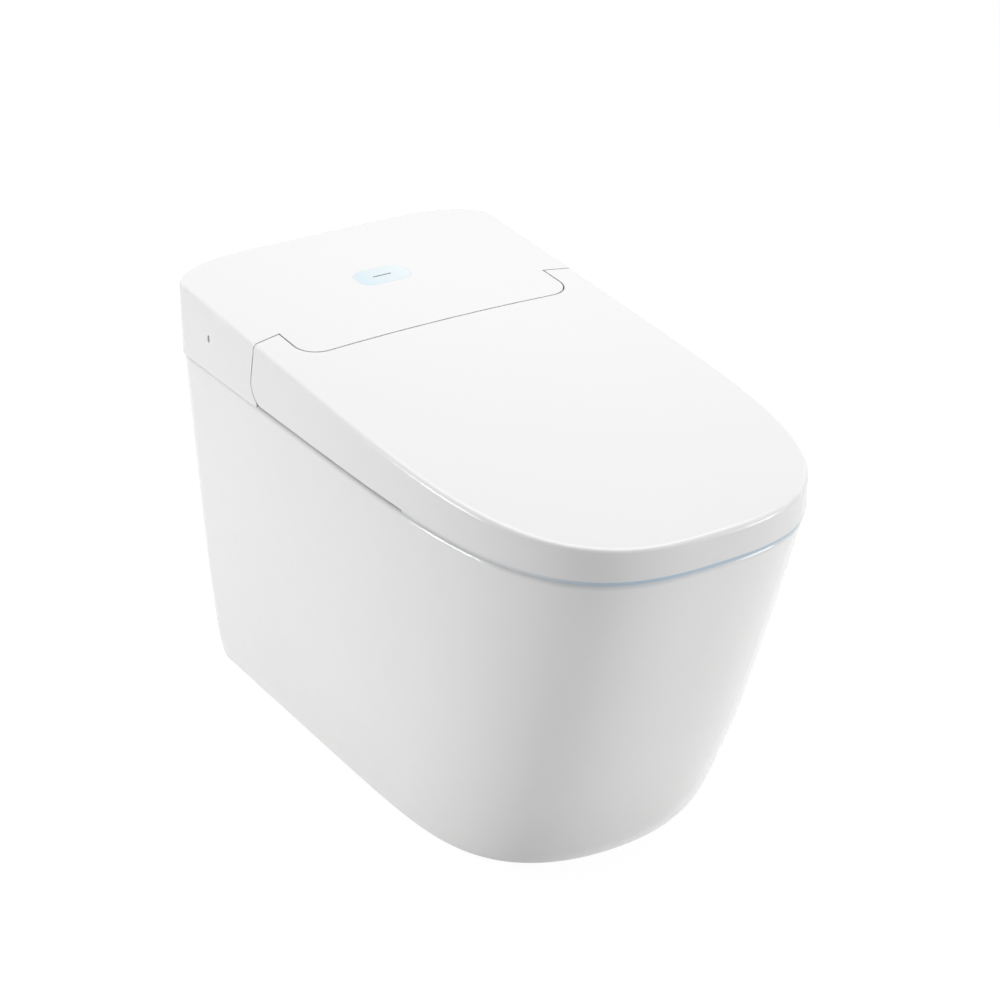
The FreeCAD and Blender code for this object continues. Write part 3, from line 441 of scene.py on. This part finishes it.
effects = {
    "glaze": glazeEffect(glazePattern),
    "moulded": mouldEffect(mouldPattern),
    "wiped": wipedEffect(wipedPattern),
    "brushed": brushEffect(brushPattern),
    "rubber": rubberEffect(rubberPattern),
    "dust": dustEffect(dustPattern),
}
print("surface effects ready:", ", ".join(effects))


# Finishes, by the record's material slots: one effect gives tone, roughness and height,
# and wiping or dust goes over it. What is plain is set on the shader itself, and a bump
# has its strength first and then its distance.

finishes = {
    "china": {
        "effect": "glaze",
        "values": {"Body": (0.87, 0.87, 0.87, 1), "Pooled": (0.85, 0.85, 0.845, 1), "Ripple Scale": 24.0,
                   "Roughness": 0.14, "Spread": 0.05, "Speck Share": 0.3},
        "plain": {"IOR": 1.5, "Coat Weight": 0.3, "Coat Roughness": 0.07},
        "bump": (0.25, 0.0012),
    },
    "shell_white": {
        "effect": "moulded",
        "values": {"Body": (0.88, 0.88, 0.88, 1), "Flow": (0.87, 0.87, 0.868, 1), "Grain Scale": 1500.0,
                   "Roughness": 0.24, "Spread": 0.05},
        "wiped": {"Smear": 0.015, "Scuff": 0.01},
        "plain": {"IOR": 1.49, "Coat Weight": 0.15, "Coat Roughness": 0.12},
        "bump": (0.12, 0.00003),
    },
    "seat_white": {
        "effect": "moulded",
        "values": {"Body": (0.87, 0.87, 0.865, 1), "Flow": (0.855, 0.855, 0.85, 1), "Grain Scale": 1300.0,
                   "Roughness": 0.28, "Spread": 0.06},
        "wiped": {"Smear": 0.1, "Scuff": 0.15},
        "plain": {"IOR": 1.49},
        "bump": (0.15, 0.00004),
    },
    "liner_white": {
        "effect": "moulded",
        "values": {"Body": (0.84, 0.84, 0.84, 1), "Flow": (0.82, 0.82, 0.82, 1), "Grain Scale": 1100.0,
                   "Roughness": 0.42, "Spread": 0.08},
        "wiped": {"Smear": 0.06, "Scuff": 0.1},
        "plain": {"IOR": 1.49},
        "bump": (0.3, 0.00006),
    },
    "wand_white": {
        "effect": "moulded",
        "values": {"Body": (0.84, 0.85, 0.86, 1), "Flow": (0.80, 0.81, 0.82, 1), "Grain Scale": 1600.0,
                   "Roughness": 0.18, "Spread": 0.06},
        "plain": {"IOR": 1.5, "Coat Weight": 0.3, "Coat Roughness": 0.08},
        "bump": (0.1, 0.00003),
    },
    "frame_grey": {
        "effect": "moulded",
        "values": {"Body": (0.62, 0.63, 0.64, 1), "Flow": (0.56, 0.57, 0.58, 1), "Grain Scale": 800.0,
                   "Roughness": 0.5, "Spread": 0.12},
        "dust": {"Amount": 0.35, "Dust": (0.58, 0.56, 0.53, 1)},
        "plain": {"IOR": 1.49},
        "bump": (0.4, 0.0001),
    },
    "drive_black": {
        "effect": "moulded",
        "values": {"Body": (0.025, 0.025, 0.027, 1), "Flow": (0.04, 0.04, 0.042, 1), "Grain Scale": 900.0,
                   "Roughness": 0.45, "Spread": 0.12},
        "dust": {"Amount": 0.3, "Dust": (0.25, 0.24, 0.22, 1)},
        "plain": {"IOR": 1.5},
        "bump": (0.4, 0.0001),
    },
    "buffer_rubber": {
        "effect": "rubber",
        "values": {"Body": (0.72, 0.72, 0.71, 1), "Bloom": (0.80, 0.80, 0.79, 1), "Pore Scale": 1100.0,
                   "Roughness": 0.65},
        "plain": {"IOR": 1.45},
        "bump": (0.3, 0.00008),
    },
    "seal_rubber": {
        "effect": "rubber",
        "values": {"Body": (0.02, 0.02, 0.02, 1), "Bloom": (0.06, 0.06, 0.06, 1), "Pore Scale": 900.0,
                   "Roughness": 0.7},
        "plain": {"IOR": 1.45},
        "bump": (0.4, 0.0001),
    },
    "steel": {
        "effect": "brushed",
        "values": {"Metal": (0.56, 0.56, 0.57, 1), "Tarnish": (0.42, 0.41, 0.40, 1), "Line Scale": 30.0,
                   "Roughness": 0.32, "Spread": 0.2},
        "plain": {"Metallic": 1.0},
        "bump": (0.15, 0.00005),
    },
    "brass": {
        "effect": "brushed",
        "values": {"Metal": (0.72, 0.50, 0.22, 1), "Tarnish": (0.42, 0.28, 0.13, 1), "Line Scale": 40.0,
                   "Roughness": 0.28, "Spread": 0.15},
        "plain": {"Metallic": 1.0},
        "bump": (0.15, 0.00005),
    },
    "mat_foil": {
        "effect": "brushed",
        "values": {"Metal": (0.75, 0.75, 0.76, 1), "Tarnish": (0.6, 0.6, 0.6, 1), "Line Scale": 12.0,
                   "Roughness": 0.35, "Spread": 0.25},
        "plain": {"Metallic": 1.0},
        "bump": (0.6, 0.0003),
    },
}


def startMaterial(name, plain):
    material = bpy.data.materials.new(name)
    material.use_nodes = True
    shader = material.node_tree.nodes["Principled BSDF"]
    for socket, value in plain.items():
        shader.inputs[socket].default_value = value
    return material, material.node_tree, shader


def placeEffect(tree, effect, values):
    node = tree.nodes.new("ShaderNodeGroup")
    node.node_tree = effects[effect]
    for socket, value in values.items():
        node.inputs[socket].default_value = value
    return node


def addBump(tree, shader, height, strength, distance):
    bump = tree.nodes.new("ShaderNodeBump")
    bump.inputs["Strength"].default_value = strength
    bump.inputs["Distance"].default_value = distance
    tree.links.new(height, bump.inputs["Height"])
    tree.links.new(bump.outputs[0], shader.inputs["Normal"])


def surfaceMaterial(name, recipe):
    material, tree, shader = startMaterial(name, recipe["plain"])
    base = placeEffect(tree, recipe["effect"], recipe["values"])
    color, rough = base.outputs["Color"], base.outputs["Roughness"]
    if "wiped" in recipe:
        wiped = placeEffect(tree, "wiped", recipe["wiped"])
        tree.links.new(rough, wiped.inputs["Roughness"])
        rough = wiped.outputs["Roughness"]
    if "dust" in recipe:
        dust = placeEffect(tree, "dust", recipe["dust"])
        tree.links.new(color, dust.inputs["Color"])
        tree.links.new(rough, dust.inputs["Roughness"])
        color, rough = dust.outputs["Color"], dust.outputs["Roughness"]
    addBump(tree, shader, base.outputs["Height"], *recipe["bump"])
    tree.links.new(color, shader.inputs["Base Color"])
    tree.links.new(rough, shader.inputs["Roughness"])
    return material


displayFinish = {
    "near": (0.66, 0.80, 0.87, 1),       # bluest towards the left
    "far": (0.80, 0.87, 0.89, 1),
    "edge": (0.82, 0.87, 0.885, 1),
    "rimPower": 5.0,                     # a higher power makes the rim narrower
    "rimEdge": (0.7, 1.3),
    "plain": {"Roughness": 0.12, "IOR": 1.49, "Coat Weight": 0.4, "Coat Roughness": 0.05,
              "Emission Strength": 0.03},
    "grainScale": 700.0,
    "bump": (0.05, 0.00003),
}


def displayMaterial(values):
    # a tinted lens lit from behind, paler at its edge and to the right
    material, tree, shader = startMaterial("displayLens", values["plain"])
    low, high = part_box("display_window")
    split = tree.nodes.new("ShaderNodeSeparateXYZ")
    tree.links.new(objectCoords(tree), split.inputs[0])
    across = addRange(tree, split.outputs["X"], low[0], high[0])
    reach = []
    for axis, start, end in (("X", low[0], high[0]), ("Y", low[1], high[1])):
        share = addRange(tree, split.outputs[axis], start, end, -1.0, 1.0)
        reach.append(addMath(tree, "POWER", addMath(tree, "ABSOLUTE", share), values["rimPower"]))
    tint = addBlend(tree, across, values["near"], values["far"])
    rim = addRange(tree, addMath(tree, "ADD", *reach), *values["rimEdge"])
    color = addBlend(tree, rim, tint, values["edge"])
    tree.links.new(color, shader.inputs["Base Color"])
    tree.links.new(color, shader.inputs["Emission Color"])
    addBump(tree, shader, addNoise(tree, values["grainScale"]), *values["bump"])
    return material


sensorFinish = {
    "tint": (0.02, 0.022, 0.03, 1),
    "haze": (0.05, 0.055, 0.07, 1),
    "hazeScale": 300.0,
    "hazeEdge": (0.3, 0.75),
    "roughShare": 0.5,
    "plain": {"IOR": 1.55, "Coat Weight": 0.4, "Coat Roughness": 0.08},
    "bump": (0.05, 0.00002),
}


def sensorMaterial(values):
    # near black behind a clear coat, faintly hazy
    material, tree, shader = startMaterial("sensorBar", values["plain"])
    clear, hazy = values["hazeEdge"]
    haze = addNoise(tree, values["hazeScale"])
    color = addRamp(tree, haze, ((clear, values["tint"]), (hazy, values["haze"])))
    tree.links.new(color, shader.inputs["Base Color"])
    tree.links.new(addMath(tree, "MULTIPLY", haze, values["roughShare"]), shader.inputs["Roughness"])
    addBump(tree, shader, haze, *values["bump"])
    return material


nightFinish = {
    # base colours: the darker blue at the nose is painted glow and painted shade under the lid's front; the
    # side colour is the guide's own
    "guideNosePaintedLight": (0.50, 0.61, 0.70, 1),
    "guideSide": (0.70, 0.72, 0.74, 1),
    "glowNose": (0.35, 0.60, 0.90, 1),
    "glowSide": (0.30, 0.32, 0.34, 1),
    "full": 0.06,                        # share of its length, from the nose, that is lit in full
    "gone": 0.40,                        # and the share at which the light has faded
    "cloudScale": 220.0,
    "unevenness": 0.04,
    "plain": {"Roughness": 0.35, "IOR": 1.5, "Emission Strength": 0.06},
    "bump": (0.2, 0.0001),
}


def nightMaterial(values):
    # a light guide, strongest at the nose and fading along the sides; its base colour fades too, from
    # painted glow and painted shade at the nose to the guide's own pale grey
    material, tree, shader = startMaterial("nightGuide", values["plain"])
    low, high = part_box("night_light")
    split = tree.nodes.new("ShaderNodeSeparateXYZ")
    tree.links.new(objectCoords(tree), split.inputs[0])
    cloudy = addNoise(tree, values["cloudScale"])
    along = addRange(tree, split.outputs["Y"], low[1], high[1])
    uneven = addMath(tree, "ADD", along, addMath(tree, "MULTIPLY", cloudy, values["unevenness"]))
    # the emission is the night light's own glow; the base colour's darker blue nose is painted glow and
    # painted shade
    for socket, nose, side in (("Emission Color", "glowNose", "glowSide"),
                               ("Base Color", "guideNosePaintedLight", "guideSide")):
        fade = addRamp(tree, uneven, ((values["full"], values[nose]), (values["gone"], values[side])))
        tree.links.new(fade, shader.inputs[socket])
    addBump(tree, shader, cloudy, *values["bump"])
    return material


boardFinish = {
    "mask": (0.015, 0.12, 0.05, 1),
    "copper": (0.05, 0.22, 0.10, 1),
    "trackScale": 260.0,
    "trackWidth": 0.06,
    "plain": {"Roughness": 0.35, "IOR": 1.5},
    "bump": (0.5, 0.00005),
}


def boardMaterial(values):
    # solder mask with copper tracks under it
    material, tree, shader = startMaterial("solderMask", values["plain"])
    tracks = tree.nodes.new("ShaderNodeTexBrick")
    tracks.inputs["Scale"].default_value = values["trackScale"]
    tracks.inputs["Mortar Size"].default_value = values["trackWidth"]
    tracks.inputs["Color1"].default_value = values["mask"]
    tracks.inputs["Color2"].default_value = values["mask"]
    tracks.inputs["Mortar"].default_value = values["copper"]
    tree.links.new(objectCoords(tree), tracks.inputs["Vector"])
    tree.links.new(tracks.outputs["Color"], shader.inputs["Base Color"])
    addBump(tree, shader, tracks.outputs["Fac"], *values["bump"])
    return material


waterFinish = {
    "rippleScale": 30.0,
    "plain": {"Base Color": (0.93, 0.98, 0.99, 1), "Roughness": 0.02, "IOR": 1.333,
              "Transmission Weight": 1.0},
    "bump": (0.1, 0.0006),
}


def waterMaterial(values):
    # clear, with a faint ripple
    material, tree, shader = startMaterial("standingWater", values["plain"])
    addBump(tree, shader, addNoise(tree, values["rippleScale"]), *values["bump"])
    return material


def camelName(slot):
    words = slot.split("_")
    return words[0] + "".join(word.capitalize() for word in words[1:])


def makeMaterials():
    made = {slot: surfaceMaterial(camelName(slot) + "Finish", recipe) for slot, recipe in finishes.items()}
    made["display_tint"] = displayMaterial(displayFinish)
    made["sensor_dark"] = sensorMaterial(sensorFinish)
    made["glow_guide"] = nightMaterial(nightFinish)
    made["board_green"] = boardMaterial(boardFinish)
    made["water"] = waterMaterial(waterFinish)
    return made


def paint(piece, slot):
    piece.data.materials.clear()
    piece.data.materials.append(materials[slot])


materials = makeMaterials()
for part in frame["record"]["subparts"]:
    paint(nodes[part["node"]], part["material_slot"])
print("materials made:", len(materials))


# Tools for new pieces: select by place or normal, shape in edit mode, apply modifiers.

mergeDistance = 0.00001


def makeActive(piece):
    deselectAll()
    piece.select_set(True)
    bpy.context.view_layer.objects.active = piece


def editPiece(piece):
    makeActive(piece)
    bpy.ops.object.mode_set(mode="EDIT")
    bpy.ops.mesh.select_all(action="DESELECT")


def leaveEdit():
    bpy.ops.object.mode_set(mode="OBJECT")


def selectFaces(piece, wanted):
    # wanted gets a face's centre and normal
    bpy.ops.mesh.select_mode(type="FACE")
    mesh = bmesh.from_edit_mesh(piece.data)
    for face in mesh.faces:
        face.select_set(wanted(face.calc_center_median(), face.normal))
    bmesh.update_edit_mesh(piece.data)


def selectEdges(piece, wanted):
    # wanted gets an edge's two ends
    bpy.ops.mesh.select_mode(type="EDGE")
    mesh = bmesh.from_edit_mesh(piece.data)
    for edge in mesh.edges:
        edge.select_set(wanted(edge.verts[0].co, edge.verts[1].co))
    bmesh.update_edit_mesh(piece.data)


def applyPlace(piece):
    makeActive(piece)
    bpy.ops.object.transform_apply(location=True, rotation=True, scale=True)


def applyModifier(piece, kind, **settings):
    makeActive(piece)
    modifier = piece.modifiers.new(kind.lower(), kind)
    for name, value in settings.items():
        setattr(modifier, name, value)
    bpy.ops.object.modifier_apply(modifier=modifier.name)


def cutWith(piece, cutter):
    applyModifier(piece, "BOOLEAN", operation="DIFFERENCE", object=cutter)
    bpy.data.objects.remove(cutter)


def closeUp(piece):
    editPiece(piece)
    bpy.ops.mesh.select_all(action="SELECT")
    bpy.ops.mesh.remove_doubles(threshold=mergeDistance)
    bpy.ops.mesh.normals_make_consistent(inside=False)
    leaveEdit()


def smoothPiece(piece, degrees=35.0):
    # edges that turn less than this are shaded smooth
    makeActive(piece)
    bpy.ops.object.shade_smooth_by_angle(angle=math.radians(degrees))


def mirroredCopy(piece):
    makeActive(piece)
    bpy.ops.object.duplicate(linked=False)
    other = bpy.context.object
    other.scale.x = -1.0
    applyPlace(other)
    closeUp(other)
    return other


def joinPieces(pieces, name):
    deselectAll()
    for piece in pieces:
        piece.select_set(True)
    bpy.context.view_layer.objects.active = pieces[0]
    bpy.ops.object.join()
    pieces[0].name = name
    pieces[0].data.name = name
    return pieces[0]


def turnedPiece(place, rings, sides):
    # rings of (radius, height), each extruded from the one before it; both ends are filled
    x, y, z = place
    deselectAll()
    bpy.ops.mesh.primitive_circle_add(vertices=sides, radius=rings[0][0], fill_type="NGON",
                                      location=(x, y, z + rings[0][1]))
    piece = bpy.context.object
    applyPlace(piece)
    editPiece(piece)
    selectFaces(piece, lambda centre, normal: True)
    for before, ring in zip(rings, rings[1:]):
        bpy.ops.mesh.extrude_region_move(TRANSFORM_OT_translate={"value": (0, 0, ring[1] - before[1])})
        share = ring[0] / before[0]
        bpy.ops.transform.resize(value=(share, share, 1.0), center_override=(x, y, z + ring[1]))
    leaveEdit()
    closeUp(piece)
    return piece


def finishPiece(piece, body, slot, replaced=()):
    # what it is made of, the body it rides on and the CAD node that it stands for
    paint(piece, slot)
    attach(piece, body)
    if replaced:
        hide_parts(*replaced)


# Water that stands in the bowl, up to the trap's weir.

waterPiece = {
    "level": 0.146,
    "bottom": 0.113,
    "centre": (0.0, -0.117),
    "bottomCentre": (0.0, -0.112),
    "halfWidth": 0.0412,
    "halfLength": 0.0515,
    "bottomScale": (0.52, 0.47),
    "sides": 64,
}


def makeWater(values):
    deselectAll()
    bpy.ops.mesh.primitive_circle_add(vertices=values["sides"], radius=1.0, fill_type="NGON",
                                      location=(*values["centre"], values["level"]))
    water = bpy.context.object
    water.name = "bowlWater"
    water.scale = (values["halfWidth"], values["halfLength"], 1.0)
    applyPlace(water)
    editPiece(water)
    selectFaces(water, lambda centre, normal: True)
    shift = values["bottomCentre"][1] - values["centre"][1]
    bpy.ops.mesh.extrude_region_move(
        TRANSFORM_OT_translate={"value": (0, shift, values["bottom"] - values["level"])})
    bpy.ops.transform.resize(value=(*values["bottomScale"], 1.0),
                             center_override=(*values["bottomCentre"], values["bottom"]))
    leaveEdit()
    closeUp(water)
    smoothPiece(water)
    finishPiece(water, "base", "water")


makeWater(waterPiece)
print("water placed")


# Cross-slot screws that stand in the recesses in the rear cover's sides.

screwPiece = {
    "tip": 0.1595,               # end of the shank, from the middle plane
    "neck": 0.1825,              # where the head begins
    "top": 0.1847,
    "headRadius": 0.0022,
    "shankRadius": 0.0018,
    "headBevel": 0.0005,
    "slotLength": 0.0028,
    "slotWidth": 0.0007,
    "slotDepth": 0.0012,
    "sides": 40,
}


def makeScrews(values):
    low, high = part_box("cover_screws")
    y, z = (low[1] + high[1]) / 2, (low[2] + high[2]) / 2
    length = values["top"] - values["tip"]
    deselectAll()
    bpy.ops.mesh.primitive_cylinder_add(vertices=values["sides"], radius=values["headRadius"], depth=length,
                                        location=(values["tip"] + length / 2, y, z),
                                        rotation=(0, math.radians(90), 0))
    screw = bpy.context.object
    applyPlace(screw)
    editPiece(screw)
    bpy.ops.mesh.select_all(action="SELECT")
    bpy.ops.mesh.bisect(plane_co=(values["neck"], 0, 0), plane_no=(1, 0, 0))
    selectFaces(screw, lambda centre, normal: centre.x < values["neck"] and abs(normal.x) < 0.5)
    bpy.ops.mesh.extrude_region_shrink_fatten(
        TRANSFORM_OT_shrink_fatten={"value": values["shankRadius"] - values["headRadius"]})
    selectEdges(screw, lambda a, b: min(a.x, b.x) > values["top"] - mergeDistance)
    bpy.ops.mesh.bevel(offset=values["headBevel"], segments=4)
    leaveEdit()
    closeUp(screw)
    for size in ((values["slotLength"], values["slotWidth"]), (values["slotWidth"], values["slotLength"])):
        deselectAll()
        bpy.ops.mesh.primitive_cube_add(size=1.0, location=(values["top"], y, z))
        slot = bpy.context.object
        slot.scale = (2 * values["slotDepth"], *size)
        applyPlace(slot)
        cutWith(screw, slot)
    smoothPiece(screw)
    both = joinPieces([screw, mirroredCopy(screw)], "crossSlotScrews")
    finishPiece(both, "base", "steel", ["cover_screws"])


makeScrews(screwPiece)
print("screws placed")


# Rubber pads under the seat, with grip grooves across their feet.

seatPad = {
    "places": ((0.152, -0.060), (0.118, -0.262)),
    "size": (0.014, 0.032),
    "corner": 0.0064,
    "footBevel": 0.0010,
    "grooves": 3,
    "grooveStep": 0.0055,
    "grooveRadius": 0.0006,
}


def makeSeatPad(values, place, foot, top):
    deselectAll()
    bpy.ops.mesh.primitive_cube_add(size=1.0, location=(*place, (foot + top) / 2))
    pad = bpy.context.object
    pad.scale = (*values["size"], top - foot)
    applyPlace(pad)
    editPiece(pad)
    selectEdges(pad, lambda a, b: abs(a.z - b.z) > 0.001)
    bpy.ops.mesh.bevel(offset=values["corner"], segments=10)
    selectFaces(pad, lambda centre, normal: normal.z < -0.9)
    bpy.ops.mesh.bevel(offset=values["footBevel"], segments=4)
    leaveEdit()
    for i in range(values["grooves"]):
        shift = (i - (values["grooves"] - 1) / 2) * values["grooveStep"]
        deselectAll()
        bpy.ops.mesh.primitive_cylinder_add(vertices=24, radius=values["grooveRadius"],
                                            depth=2 * values["size"][0],
                                            location=(place[0], place[1] + shift, foot),
                                            rotation=(0, math.radians(90), 0))
        cutWith(pad, bpy.context.object)
    closeUp(pad)
    return pad


def makeSeatPads(values):
    low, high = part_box("seat_buffers")
    pads = []
    for place in values["places"]:
        pad = makeSeatPad(values, place, low[2], high[2])
        pads += [pad, mirroredCopy(pad)]
    for pad in pads:
        smoothPiece(pad)
    joined = joinPieces(pads, "groovedSeatPads")
    finishPiece(joined, "seat", "buffer_rubber", ["seat_buffers"])


makeSeatPads(seatPad)
print("seat pads placed")


# Round pads on the lid's inner panel: domed feet with a small hollow in the middle.

lidPad = {
    "places": ((0.148, 0.050, 0.42186), (0.122, -0.240, 0.40956)),
    "slopes": ((0.02376, 0.0439), (0.01133, 0.03658)),    # the seat's rise there, along x and along y
    "rings": ((0.0018, 0.0007), (0.0021, 0.0002), (0.0027, 0.0), (0.0042, 0.00008), (0.0056, 0.0004),
              (0.0065, 0.0010), (0.0070, 0.0019), (0.0070, 0.0034)),
    "sides": 48,
    "smoothAngle": 50.0,
}


def makeLidPads(values):
    pads = []
    for place, slope in zip(values["places"], values["slopes"]):
        pad = turnedPiece((0.0, 0.0, 0.0), values["rings"], values["sides"])
        pad.location = place
        pad.rotation_euler = (math.atan(slope[1]), -math.atan(slope[0]), 0.0)
        applyPlace(pad)
        pads += [pad, mirroredCopy(pad)]
    for pad in pads:
        smoothPiece(pad, values["smoothAngle"])
    finishPiece(joinPieces(pads, "domedLidPads"), "lid", "buffer_rubber", ["lid_buffers"])


makeLidPads(lidPad)
print("lid pads placed")


# Water connection under the tub: a stem with its thread, and a collar.

inletPiece = {
    "boreRadius": 0.0074,
    "boreDepth": 0.0300,
    "threadRadius": 0.0104,
    "threadDepth": 0.0009,
    "threadPitch": 0.0018,
    "threadFrom": 0.0016,
    "threadTurns": 12,
    "threadShares": (0.4, 0.55, 0.95),   # of a pitch: crest from, crest to, root again
    "collarRadius": 0.0144,
    "collarFrom": 0.0260,
    "collarBevel": 0.0008,
    "sides": 72,
    "smoothAngle": 30.0,
}


def makeInlet(values):
    low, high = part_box("inlet_connector")
    x, y = (low[0] + high[0]) / 2, (low[1] + high[1]) / 2
    height = high[2] - low[2]
    root = values["threadRadius"] - values["threadDepth"]
    collar, bevel = values["collarRadius"], values["collarBevel"]
    rings = [(values["boreRadius"], values["boreDepth"]), (values["boreRadius"], 0.0), (root, 0.0)]
    for i in range(values["threadTurns"]):
        start = values["threadFrom"] + i * values["threadPitch"]
        crestFrom, crestTo, rootFrom = (start + share * values["threadPitch"]
                                        for share in values["threadShares"])
        rings += [(root, start), (values["threadRadius"], crestFrom),
                  (values["threadRadius"], crestTo), (root, rootFrom)]
    rings += [(root, values["collarFrom"]), (collar - bevel, values["collarFrom"]),
              (collar, values["collarFrom"] + bevel), (collar, height)]
    inlet = turnedPiece((x, y, low[2]), rings, values["sides"])
    inlet.name = inlet.data.name = "threadedInlet"
    smoothPiece(inlet, values["smoothAngle"])
    finishPiece(inlet, "base", "brass", ["inlet_connector"])


makeInlet(inletPiece)
print("water connection placed")
